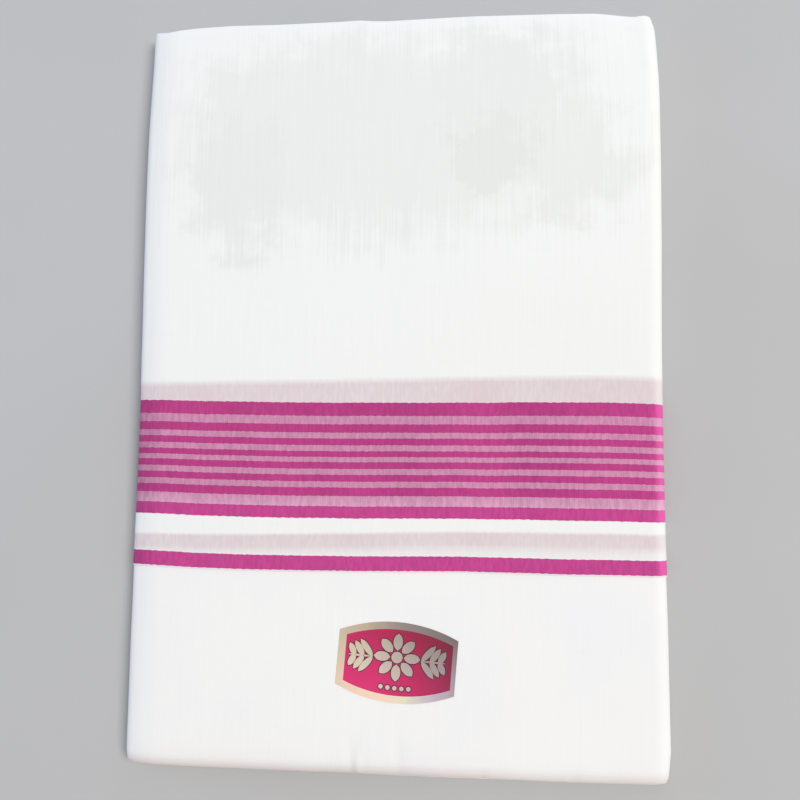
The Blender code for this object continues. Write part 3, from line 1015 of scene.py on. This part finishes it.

# %% Painted shade along the bottom fold
to_fold = add(tree, "ShaderNodeMath", {0: cloud.outputs["Fac"], 1: 3 * MM, 2: threads["v"]},
              operation="MULTIPLY_ADD")
FOLD_V = -HALF_LENGTH - SELVEDGE_Y
fold_place = add(tree, "ShaderNodeMapRange", {"Value": to_fold.outputs[0], "From Min": FOLD_V,
                                              "From Max": FOLD_V + 8 * MM})
# Painted shade: over the last 8 mm before the bottom fold, the white is darkened to a pinkish grey.
painted_fold_shade = add(tree, "ShaderNodeValToRGB", {"Fac": fold_place.outputs[0]}, stops=[
    (0.00, hex_colour("#DACFCE")), (0.22, hex_colour("#E7DEDD")), (0.45, hex_colour("#F2EDEC")),
    (0.75, hex_colour("#FBF9F9")), (1.00, hex_colour("#FFFFFF"))])
fold_shaded = add(tree, "ShaderNodeVectorMath", {0: white_cloud.outputs["Color"],
                                                 1: painted_fold_shade.outputs["Color"]},
                  operation="MULTIPLY")
# Painted bluish-grey shade along the left edge, over the painted shade of the bottom fold.
plain_shaded = left_fold_painted_shade(tree, fold_shaded.outputs[0], threads)
cotton_surface(tree, output, toned(tree, plain_shaded, threads, 0.010), threads)
print(f"{plain_cotton.name}: {len(tree.nodes)} nodes")

# %% [markdown]
# ### Cotton of the inner layers
#
# The inner layers show only their folded edges. They could share the cloth of the front, but a
# fold's lip looks a little greyer and less even than a flat face, so they get their own two greys.

# %% Cotton of the inner layers
LIP_CLOUD = MM / 0.06   # changes of tone along a lip, about 17 mm long
inner_cotton, tree, output = new_material("bleached_cotton_folded_edges")
threads = weave_nodes(tree)
cloud = add(tree, "ShaderNodeTexNoise", {"Vector": threads["uv"], "Scale": 1 / LIP_CLOUD,
                                         "Detail": 2.0}, noise_dimensions="2D")
edge_cloud = add(tree, "ShaderNodeValToRGB", {"Fac": cloud.outputs["Fac"]}, stops=[
    (0.30, hex_colour("#E0E0E0")), (0.65, hex_colour("#EBEBEA"))])
cotton_surface(tree, output, toned(tree, edge_cloud.outputs["Color"], threads, 0.02), threads)
print(f"{inner_cotton.name}: {len(tree.nodes)} nodes")

# %% [markdown]
# ## The woven border
#
# The border's stripes are coloured threads in the warp, so they run along the whole cloth and
# their widths are fixed when the loom is set up. Solid stripes have magenta in both systems of
# threads. The pale bands between them mix magenta with white, which gives fine pin lines. Each
# stripe could be a strip of mesh with its own material, but then the weave would break at every
# edge. A list of widths, counted from the selvedge, describes the border just as a weaver would
# note it down, and one material reads it.

# %% Widths of the border
BORDER = [("edge", 0.5), ("solid", 6.75), ("white", 16.7), ("edge", 0.4), ("solid", 5.35),
          ("pale", 4.7), ("solid", 4.1), ("pale", 2.9), ("solid", 2.9), ("pale", 2.75),
          ("solid", 3.05), ("pale", 2.25), ("solid", 2.85), ("pale", 2.85), ("solid", 2.95),
          ("pale", 2.9), ("solid", 4.0), ("pale", 3.85), ("solid", 6.05), ("white", 22.2)]
BORDER_SPAN = sum(width for kind, width in BORDER)
STRIPED = BORDER_SPAN - BORDER[-1][1]
GREY_LEVEL = {"white": 0.0, "edge": 0.12, "pale": 0.5, "solid": 1.0}


def border_stops():
    """Places and grey levels of the stripes, as fractions of the span."""
    stops, reached = [], 0.0
    for kind, width in BORDER:
        level = GREY_LEVEL[kind]
        stops.append((reached / BORDER_SPAN, (level, level, level, 1.0)))
        reached += width
    return stops


print(f"border: {len(BORDER) - 1} stripes and bands over {STRIPED:.1f} mm")

# %% Threads of the border
# Sizes along the stripes and across them: small steps of an edge, 1.4 by 17 mm, and slow ones.
WOBBLE_ALONG, WOBBLE_ACROSS = MM / 0.7, MM / 0.06
DRIFT_ALONG, DRIFT_ACROSS = MM / 0.03, MM / 0.008   # 33 mm by 125 mm
bordered_cotton, tree, output = new_material("bordered_cotton_dyed_warp")
threads = weave_nodes(tree)
pin_phase = add(tree, "ShaderNodeMath", {0: threads["u"], 1: 2 * math.pi / PIN},
                operation="MULTIPLY")
pin = add(tree, "ShaderNodeMath", {0: pin_phase.outputs[0]}, operation="SINE")
scallop_phase = add(tree, "ShaderNodeMath", {0: threads["u"], 1: 2 * math.pi / SCALLOP},
                    operation="MULTIPLY")
scallop = add(tree, "ShaderNodeMath", {0: scallop_phase.outputs[0]}, operation="SINE")
wobble_map = add(tree, "ShaderNodeMapping", {"Vector": threads["uv"], "Scale": (
    1 / WOBBLE_ALONG, 1 / WOBBLE_ACROSS, 1)})
wobble = add(tree, "ShaderNodeTexNoise", {"Vector": wobble_map.outputs[0], "Scale": 1.0,
                                          "Detail": 1.0}, noise_dimensions="2D")
drift_map = add(tree, "ShaderNodeMapping", {"Vector": threads["uv"], "Scale": (
    1 / DRIFT_ALONG, 1 / DRIFT_ACROSS, 1)})
drift = add(tree, "ShaderNodeTexNoise", {"Vector": drift_map.outputs[0], "Scale": 1.0,
                                         "Detail": 1.0}, noise_dimensions="2D")
print(f"pin lines every {PIN / MM:.2f} mm, a stripe's edge steps every {SCALLOP / MM:.2f} mm")

# %% Stripes of the top ply


def border_place(extra, low, label):
    """The place across the border, 0 to 1, with scalloped and slowly drifting edges."""
    base = add(tree, "ShaderNodeMath", {0: threads["v"], 1: extra}, operation="ADD",
               label=label)
    stepped = add(tree, "ShaderNodeMath", {0: scallop.outputs[0], 1: SCALLOP_DEPTH,
                                           2: base.outputs[0]}, operation="MULTIPLY_ADD")
    uneven = add(tree, "ShaderNodeMath", {0: wobble.outputs["Fac"], 1: 0.32 * MM,
                                          2: stepped.outputs[0]}, operation="MULTIPLY_ADD")
    slow = add(tree, "ShaderNodeMath", {0: drift.outputs["Fac"], 1: 0.5 * MM,
                                        2: uneven.outputs[0]}, operation="MULTIPLY_ADD")
    centred = (0.16 + 0.25) * MM
    placed = add(tree, "ShaderNodeMapRange", {"Value": slow.outputs[0],
                                              "From Min": low * MM + centred,
                                              "From Max": BORDER_SPAN * MM + centred})
    return placed.outputs[0]


stripe_ramp = add(tree, "ShaderNodeValToRGB", {"Fac": border_place(0.0, 0.0, "top ply")},
                  stops=border_stops(), steps="CONSTANT")
stripe_level = stripe_ramp.outputs["Color"]
print("stops of the stripes:", len(stripe_ramp.color_ramp.elements))

# %% [markdown]
# ### The border that shows through
#
# The cloth is doubled, and the border of the ply below lies higher: by 10.5 mm at the middle, less
# on the left and more on the right. It shows through as a faint greyish pink with soft edges.
# Translucent cloth over a second striped sheet would show the same and take far longer to render,
# so the top ply's own material reads a second, softer list at a shifted place.

# %% The ply below
UNDER_SHIFT, UNDER_SKEW, UNDER_CURVE = 10.5 * MM, 0.016, -0.075


def tint_stops():
    """How much the ply below tints the white, with the soft edges of something seen through."""
    table = [(-4.0, 0.25), (-1.5, 0.34), (0.5, 0.64), (2.2, 0.96), (6.8, 1.0), (8.3, 0.0),
             (24.1, 0.0), (25.3, 0.95), (STRIPED - 1.0, 1.0), (STRIPED + 0.3, 0.62),
             (STRIPED + 2.2, 0.0)]
    return [((place + 4) / (BORDER_SPAN + 4), (level, level, level, 1.0))
            for place, level in table]


front = np.abs(OUTER["z"] - THICKNESS) < 1e-6
middle_u = float(np.interp(0.0, OUTER["x"][front], OUTER["gone"][front]))
from_middle = add(tree, "ShaderNodeMath", {0: threads["u"], 1: -middle_u}, operation="ADD")
skew = add(tree, "ShaderNodeMath", {0: from_middle.outputs[0], 1: -UNDER_CURVE,
                                    2: -UNDER_SKEW}, operation="MULTIPLY_ADD")
skewed = add(tree, "ShaderNodeMath", {0: skew.outputs[0], 1: from_middle.outputs[0],
                                      2: -UNDER_SHIFT}, operation="MULTIPLY_ADD",
             label="ply below")
under_ramp = add(tree, "ShaderNodeValToRGB",
                 {"Fac": border_place(skewed.outputs[0], -4.0, "ply below")}, stops=tint_stops())
under_level = under_ramp.outputs["Color"]
print(f"the ply below lies {UNDER_SHIFT / MM:.1f} mm higher at the middle")

# %% [markdown]
# ### Greyer patches
#
# Where the upper layers cling together, the white looks a little greyer. Noise alone would spread
# such patches evenly. Here each patch is an oval with its own place, size and strength. Noise
# bends its outline and the weft's thick threads fray it, so that no oval can be seen.

# %% Greyer patches
# Centre and half size in mm, from the middle of the front and from the selvedge, and strength.
CLINGING_PATCHES = [(-75, 190, 27, 37, 0.72), (-79, 228, 22, 20, 0.56), (-9, 210, 98, 52, 0.56),
                    (-30, 238, 70, 22, 0.48), (48, 232, 44, 32, 0.66), (46, 198, 22, 20, 0.88),
                    (77, 196, 34, 32, 0.62)]
RAGGED = MM / 0.055   # the bends of a patch's outline are about 18 mm long
from_front = add(tree, "ShaderNodeMapping", {"Vector": threads["uv"],
                                             "Location": (-middle_u, 0, 0)}).outputs[0]
bend_field = add(tree, "ShaderNodeTexNoise", {"Vector": from_front, "Scale": 1 / RAGGED,
                                              "Detail": 4.0, "Roughness": 0.6},
                 noise_dimensions="2D")
bend_centred = add(tree, "ShaderNodeVectorMath", {0: bend_field.outputs["Color"],
                                                  1: (0.5, 0.5, 0.5)}, operation="SUBTRACT")
bent = add(tree, "ShaderNodeVectorMath", {0: bend_centred.outputs[0],
                                          1: (0.045, 0.06, 0.0), 2: from_front},
           operation="MULTIPLY_ADD")
clinging = None
for patch_x, patch_v, half_x, half_v, strength in CLINGING_PATCHES:
    fitted = add(tree, "ShaderNodeMapping", {
        "Vector": bent.outputs[0],
        "Location": (-patch_x / half_x, -patch_v / half_v, 0),
        "Scale": (1 / (half_x * MM), 1 / (half_v * MM), 1)})
    reach = add(tree, "ShaderNodeVectorMath", {0: fitted.outputs[0]}, operation="LENGTH")
    ragged = add(tree, "ShaderNodeMath", {0: threads["weft_slub"], 1: 0.7,
                                          2: reach.outputs["Value"]}, operation="MULTIPLY_ADD")
    patch = add(tree, "ShaderNodeMapRange", {"Value": ragged.outputs[0], "From Min": 1.65,
                                             "From Max": 1.0, "To Max": strength},
                interpolation_type="SMOOTHSTEP").outputs[0]
    if clinging is None:
        clinging = patch
    else:
        clinging = add(tree, "ShaderNodeMath", {0: clinging, 1: patch},
                       operation="MAXIMUM").outputs[0]
white_tone = add(tree, "ShaderNodeMix", {"Factor": clinging, 6: hex_colour(WHITE),
                                         7: hex_colour(CLINGING)}, data_type="RGBA")
print("patches:", len(CLINGING_PATCHES))

# %% Uneven lines of the pale threads
LINE_WIDTH, LINE_LENGTH = MM / 0.62, MM / 0.17   # 1.6 mm by 5.9 mm
line_map = add(tree, "ShaderNodeMapping", {"Vector": threads["uv"], "Scale": (
    1 / LINE_WIDTH, 1 / LINE_LENGTH, 1)})
lines = add(tree, "ShaderNodeTexNoise", {"Vector": line_map.outputs[0], "Scale": 1.0,
                                         "Detail": 1.5, "Roughness": 0.6},
            noise_dimensions="2D")
uneven_lines = add(tree, "ShaderNodeMapRange", {"Value": lines.outputs["Fac"], "From Min": 0.3,
                                                "From Max": 0.7, "To Min": -0.036,
                                                "To Max": 0.036})
pale_pin = add(tree, "ShaderNodeMath", {0: pin.outputs[0], 1: 0.012,
                                        2: uneven_lines.outputs[0]}, operation="MULTIPLY_ADD")
slow_change = add(tree, "ShaderNodeMath", {0: drift.outputs["Fac"], 1: 0.35, 2: 0.74},
                  operation="MULTIPLY_ADD")
under_lines = add(tree, "ShaderNodeMath", {0: pale_pin.outputs[0], 1: 2.8,
                                           2: slow_change.outputs[0]}, operation="MULTIPLY_ADD")
print("nodes so far:", len(tree.nodes))

# %% [markdown]
# ### Dye and a painted highlight
#
# The threads are dyed magenta before they are woven. The colour changes a little along the cloth.
# Along the last fold it is painted lighter and brighter: a painted highlight where the rounded
# spine turns towards the light, which also fades the border seen through. Such a highlight could
# be painted on by hand. The distance from the fold's crest does it here, because the highlight
# then follows the fold on the front and on the back alike.

# %% Painted highlight along the last fold
SPINE_CREST = float(OUTER["gone"][front][-1]) + 6.0 * MM
from_crest = add(tree, "ShaderNodeMath", {0: threads["u"], 1: -SPINE_CREST}, operation="ADD")
crest_distance = add(tree, "ShaderNodeMath", {0: from_crest.outputs[0]}, operation="ABSOLUTE")
crest_highlight = add(tree, "ShaderNodeMapRange", {"Value": crest_distance.outputs[0],
                                          "From Min": 5.4 * MM, "From Max": 1.5 * MM,
                                          "To Max": 0.42}, interpolation_type="SMOOTHSTEP")
# Near the crest, the painted highlight also fades the border seen through.
highlight_clears_under = add(tree, "ShaderNodeMath", {0: crest_highlight.outputs[0], 1: -0.9, 2: 1.0},
                 operation="MULTIPLY_ADD")
under_lines_in_highlight = add(tree, "ShaderNodeMath", {0: under_lines.outputs[0], 1: highlight_clears_under.outputs[0]},
                 operation="MULTIPLY")
under_amount = add(tree, "ShaderNodeMath", {0: under_level, 1: under_lines_in_highlight.outputs[0]},
                   operation="MULTIPLY")
print(f"the crest of the last fold lies {SPINE_CREST / MM:.0f} mm along the outer cloth")

# %% White ground and magenta dye
ground = add(tree, "ShaderNodeMix", {"Factor": under_amount.outputs[0],
                                     6: white_tone.outputs[2],
                                     7: hex_colour("#D8C9CC")}, data_type="RGBA")
dye = add(tree, "ShaderNodeValToRGB", {"Fac": drift.outputs["Fac"]}, stops=[
    (0.30, hex_colour("#AF3A7B")), (0.70, hex_colour("#B93F82"))])
bright_end = add(tree, "ShaderNodeMapRange", {"Value": threads["v"], "From Min": 36 * MM,
                                              "From Max": 29 * MM, "To Max": 0.5})
dye_tone = add(tree, "ShaderNodeMix", {"Factor": bright_end.outputs[0],
                                       6: dye.outputs["Color"],
                                       7: hex_colour("#C84A92")}, data_type="RGBA")
print("nodes so far:", len(tree.nodes))

# %% Share of dye in stripes and pale bands
pale_base = add(tree, "ShaderNodeMath", {0: bright_end.outputs[0], 1: -0.32, 2: 0.17},
                operation="MULTIPLY_ADD")
pale_mean = add(tree, "ShaderNodeMath", {0: pale_pin.outputs[0], 1: 0.4, 2: pale_base.outputs[0]},
                operation="MULTIPLY_ADD")
is_pale = add(tree, "ShaderNodeMath", {0: stripe_level, 1: 0.5, 2: 0.1}, operation="COMPARE")
pale_part = add(tree, "ShaderNodeMath", {0: is_pale.outputs[0], 1: pale_mean.outputs[0],
                                         2: stripe_level}, operation="MULTIPLY_ADD")
undyed = add(tree, "ShaderNodeMix", {"Factor": is_pale.outputs[0], 6: ground.outputs[2],
                                     7: hex_colour("#E4D0DE")}, data_type="RGBA")
coloured = add(tree, "ShaderNodeMix", {"Factor": pale_part.outputs[0],
                                       6: undyed.outputs[2], 7: dye_tone.outputs[2]},
               data_type="RGBA")
print("nodes so far:", len(tree.nodes))

# %% Pin lines, painted shade and painted highlight of the bordered cotton
# Painted shade: towards the left edge the dyed stripes and bands are darkened down to 0.84, where
# the cloth turns away from the light.
painted_left_shade = add(tree, "ShaderNodeMapRange", {"Value": threads["u"], "From Min": 11 * MM,
                                              "From Max": 22 * MM, "To Min": 0.84,
                                              "To Max": 1.0})
pin_lines_and_left_shade = add(tree, "ShaderNodeMath", {0: pale_pin.outputs[0], 1: -2.6,
                                         2: painted_left_shade.outputs[0]}, operation="MULTIPLY_ADD")
is_dyed = add(tree, "ShaderNodeMath", {0: stripe_level, 1: 0.3}, operation="GREATER_THAN")
lined_and_shaded = add(tree, "ShaderNodeVectorMath", {0: coloured.outputs[2], "Scale": pin_lines_and_left_shade.outputs[0]},
            operation="SCALE")
shaded = add(tree, "ShaderNodeMix", {"Factor": is_dyed.outputs[0], 6: coloured.outputs[2],
                                     7: lined_and_shaded.outputs[0]}, data_type="RGBA")
# Painted highlight: near the crest of the last fold, the stripes are mixed towards a light pink and
# the pale bands towards a lighter one.
highlight_on_stripes = add(tree, "ShaderNodeMath", {0: crest_highlight.outputs[0], 1: stripe_level},
                 operation="MULTIPLY")
highlight_colour = add(tree, "ShaderNodeMix", {"Factor": is_pale.outputs[0],
                                          6: hex_colour("#FF73C6"), 7: hex_colour("#FFD6EE")},
                  data_type="RGBA")
highlighted = add(tree, "ShaderNodeMix", {"Factor": highlight_on_stripes.outputs[0], 6: shaded.outputs[2],
                                    7: highlight_colour.outputs[2]}, data_type="RGBA")
# Painted bluish-grey shade along the left edge.
border_shaded = left_fold_painted_shade(tree, highlighted.outputs[2], threads)
cotton_surface(tree, output, toned(tree, border_shaded, threads, 0.012), threads)
print(f"{bordered_cotton.name}: {len(tree.nodes)} nodes")

# %% [markdown]
# ## Foil and print
#
# The label is polyester film with a vapour-deposited metal layer, embossed with a fine grating.
# The grating splits light, so the silver frame shifts from peach to lilac and green. A thin-film
# shader could split it in the render, but an exported model would lose that. Its colours are laid
# over the metal here as a slow ramp across the label, together with a painted reflection: each film
# is painted darker along its top edge and towards the right. The panel is the same metal under a
# transparent magenta ink.

# %% Foil of the frame and of the figure


def row_of_colours(codes):
    """Evenly spaced stops for a ramp, from hex codes."""
    return [(k / (len(codes) - 1), hex_colour(code)) for k, code in enumerate(codes)]


RIPPLE = 12 * MM   # how far the ripple of the film can shift its tints
RIPPLE_SIZE = MM / 0.14   # a ripple of the film is about 7 mm across
GRATING_SCALE = 0.9 / MM   # bands 0.5 mm apart: the real grating is far finer than a pixel


def foil(name, high, low, roughness, metallic=0.4):
    """Metallised film: its tints from left to right along the label's top and bottom edges."""
    material, tree, output = new_material(name)
    coords = add(tree, "ShaderNodeTexCoord").outputs["Object"]
    centred = add(tree, "ShaderNodeMapping", {
        "Vector": coords, "Location": (-LABEL_CENTRE[0], -LABEL_CENTRE[1], 0)})
    upright = add(tree, "ShaderNodeMapping", {"Vector": centred.outputs[0],
                                              "Rotation": (0, 0, -LABEL_TURN)}).outputs[0]
    ripple = add(tree, "ShaderNodeTexNoise", {"Vector": upright, "Scale": 1 / RIPPLE_SIZE,
                                              "Detail": 2.0})
    split = add(tree, "ShaderNodeSeparateXYZ", {0: upright})
    rippled = add(tree, "ShaderNodeMath", {0: ripple.outputs["Fac"], 1: RIPPLE,
                                           2: split.outputs["X"]}, operation="MULTIPLY_ADD")
    across = add(tree, "ShaderNodeMapRange", {"Value": rippled.outputs[0],
                                              "From Min": (RIPPLE - LABEL_WIDTH) / 2,
                                              "From Max": (RIPPLE + LABEL_WIDTH) / 2})
    upward = add(tree, "ShaderNodeMapRange", {"Value": split.outputs["Y"],
                                              "From Min": -11 * MM, "From Max": 12 * MM})
    # The two ramps hold the grating's tints and a painted reflection: darker along the top edge and
    # to the right.
    top_tint_and_reflection = add(tree, "ShaderNodeValToRGB", {"Fac": across.outputs[0]},
                    stops=row_of_colours(high))
    bottom_tint_and_reflection = add(tree, "ShaderNodeValToRGB", {"Fac": across.outputs[0]},
                   stops=row_of_colours(low))
    tint_and_reflection = add(tree, "ShaderNodeMix", {"Factor": upward.outputs[0], 6: bottom_tint_and_reflection.outputs["Color"],
                                       7: top_tint_and_reflection.outputs["Color"]}, data_type="RGBA")
    grating = add(tree, "ShaderNodeTexWave", {"Vector": upright, "Scale": GRATING_SCALE,
                                              "Distortion": 1.5, "Detail": 1.0},
                  bands_direction="DIAGONAL")
    relief_node = add(tree, "ShaderNodeBump", {"Height": grating.outputs["Fac"],
                                               "Strength": 0.2, "Distance": 0.02 * MM})
    grain = add(tree, "ShaderNodeMapRange", {"Value": ripple.outputs["Fac"],
                                             "To Min": roughness - 0.06,
                                             "To Max": roughness + 0.10})
    shader = add(tree, "ShaderNodeBsdfPrincipled", {
        "Base Color": tint_and_reflection.outputs[2], "Metallic": metallic, "Roughness": grain.outputs[0],
        "Normal": relief_node.outputs[0]})
    tree.links.new(shader.outputs[0], output.inputs["Surface"])
    print(f"{name}: {len(tree.nodes)} nodes")
    return material


# %% Films and inks of the label
# Each film's first row runs along the label's top edge and its second along the bottom. Both carry
# the painted reflection.
frame_foil = foil("rainbow_silver_film",
                  ["#D4C4A8", "#C8B49E", "#A89A8E", "#928681", "#857C78", "#7E6C6C"],
                  ["#F4D6BE", "#FFDCC2", "#FFE0CA", "#EAE6C8", "#CCBCCA", "#B4A0AC"], 0.38, 0.3)
figure_foil = foil("silver_beige_film",
                   ["#DCCDB2", "#CDBFA8", "#B0A398", "#968A84", "#8A7F7C"],
                   ["#F4E0CC", "#EAD8C4", "#D6C6BC", "#BCB0AC", "#AA9CA0"], 0.42)
panel_ink = foil("magenta_ink_on_film",
                 ["#D0306A", "#BE2A5A", "#9C2446", "#6C2238"],
                 ["#E83A7C", "#E63878", "#CC2E68", "#943050"], 0.40)
outline_ink = foil("maroon_ink_on_film", ["#6E1C3A", "#561A2C"], ["#7A2044", "#5C1C34"], 0.5)

# %% Put the materials on
border_flap_cloth.data.materials.append(bordered_cotton)
plain_cloth_below.data.materials.append(plain_cotton)
folded_layers.data.materials.append(inner_cotton)
foil_sticker.data.materials.append(frame_foil)
foil_sticker.data.materials.append(panel_ink)
for index in panel_faces:
    foil_sticker.data.polygons[index].material_index = PANEL_SLOT
sticker_figure.data.materials.append(figure_foil)
sticker_outline.data.materials.append(outline_ink)
print("faces of the panel in ink:", len(panel_faces))

# %% [markdown]
# ## Table, light and background
#
# The pack lies on a plain pale table of board with matt paint, which mirrors nothing and takes a
# soft shadow. One large soft light stands high on the right, two weak bluish ones stand low beyond
# the top edge and on the left, and the surroundings are an even pale grey. Light from all sides
# alike would be simpler, but white cotton shows form only where its edges turn away. So the light
# from below the bottom edge stays weak and slightly warm, and that side falls into a soft shade.

# %% Table
MOTTLE = MM / 0.006   # the paint changes its tone over about 170 mm
bpy.ops.object.select_all(action="DESELECT")
bpy.ops.mesh.primitive_plane_add(size=6, location=(0, 0, -0.02 * MM))
table_top = bpy.context.object
table_top.name = "table_top"
bpy.ops.object.transform_apply(location=True, rotation=True, scale=True)
table_material, tree, output = new_material("painted_board_matt")
coords = add(tree, "ShaderNodeTexCoord").outputs["Object"]
mottle = add(tree, "ShaderNodeTexNoise", {"Vector": coords, "Scale": 1 / MOTTLE, "Detail": 4.0})
table_tone = add(tree, "ShaderNodeValToRGB", {"Fac": mottle.outputs["Fac"]}, stops=[
    (0.30, hex_colour("#B7B7B7")), (0.70, hex_colour("#BBBBBB"))])
shader = add(tree, "ShaderNodeBsdfPrincipled", {"Base Color": table_tone.outputs["Color"],
                                                "Roughness": 0.8, "Specular IOR Level": 0.2})
tree.links.new(shader.outputs[0], output.inputs["Surface"])
table_top.data.materials.append(table_material)
table_top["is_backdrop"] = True
print("table:", [round(side, 2) for side in table_top.dimensions], "m")

# %% Lights
PALE_GREY, ROOM_STRENGTH = (0.61, 0.61, 0.615, 1), 0.65


def soft_light(name, place, size, power, colour):
    """A square area light that faces the middle of the pack."""
    data = bpy.data.lights.new(name, "AREA")
    data.shape = "SQUARE"
    data.size = size
    data.energy = power
    data.color = hex_colour(colour)[:3]
    light = bpy.data.objects.new(name, data)
    light.location = place
    light.rotation_euler = (-light.location).to_track_quat("-Z", "Y").to_euler()
    scene.collection.objects.link(light)
    print(f"{name} light: {power} W from {light.location.length:.2f} m")


soft_light("key", (2.6, 0.32, 4.2), 2.2, 183, "#FFFDFA")
soft_light("top fill", (0.2, 0.95, 0.25), 0.4, 2.1, "#B4D2FF")
soft_light("left fill", (-0.85, 0.12, 0.2), 0.4, 1.8, "#B4D2FF")
soft_light("low", (0.1, -1.7, 0.7), 0.8, 1.9, "#FFD6CC")
world = bpy.data.worlds.new("pale_room")
world.use_nodes = True
world.node_tree.nodes["Background"].inputs["Color"].default_value = PALE_GREY
world.node_tree.nodes["Background"].inputs["Strength"].default_value = ROOM_STRENGTH
scene.world = world
scene.view_settings.view_transform = "Standard"
scene.view_settings.look = "None"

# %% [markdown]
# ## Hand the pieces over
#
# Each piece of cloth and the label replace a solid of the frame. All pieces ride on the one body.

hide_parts("border_flap")
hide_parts("lower_wrap")
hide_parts("hidden_layers")
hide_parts("foil_label")
for piece, slot_name in ((border_flap_cloth, "bordered_cotton"),
                         (plain_cloth_below, "plain_cotton"),
                         (folded_layers, "inner_cotton"), (foil_sticker, "label_foil"),
                         (sticker_figure, "label_foil"), (sticker_outline, "label_foil")):
    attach(piece, "root")
    triangles = sum(len(f.vertices) - 2 for f in piece.data.polygons)
    print(f"{piece.name}: {triangles} triangles")

# %% Sizes of the frame and the pieces
visual_low, visual_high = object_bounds()
sizes = {"cad": [list(cad_low), list(cad_high)], "visual": [list(visual_low), list(visual_high)]}
for name, (low, high) in sizes.items():
    print(name, "box in mm:", [round((b - a) / MM, 1) for a, b in zip(low, high)])
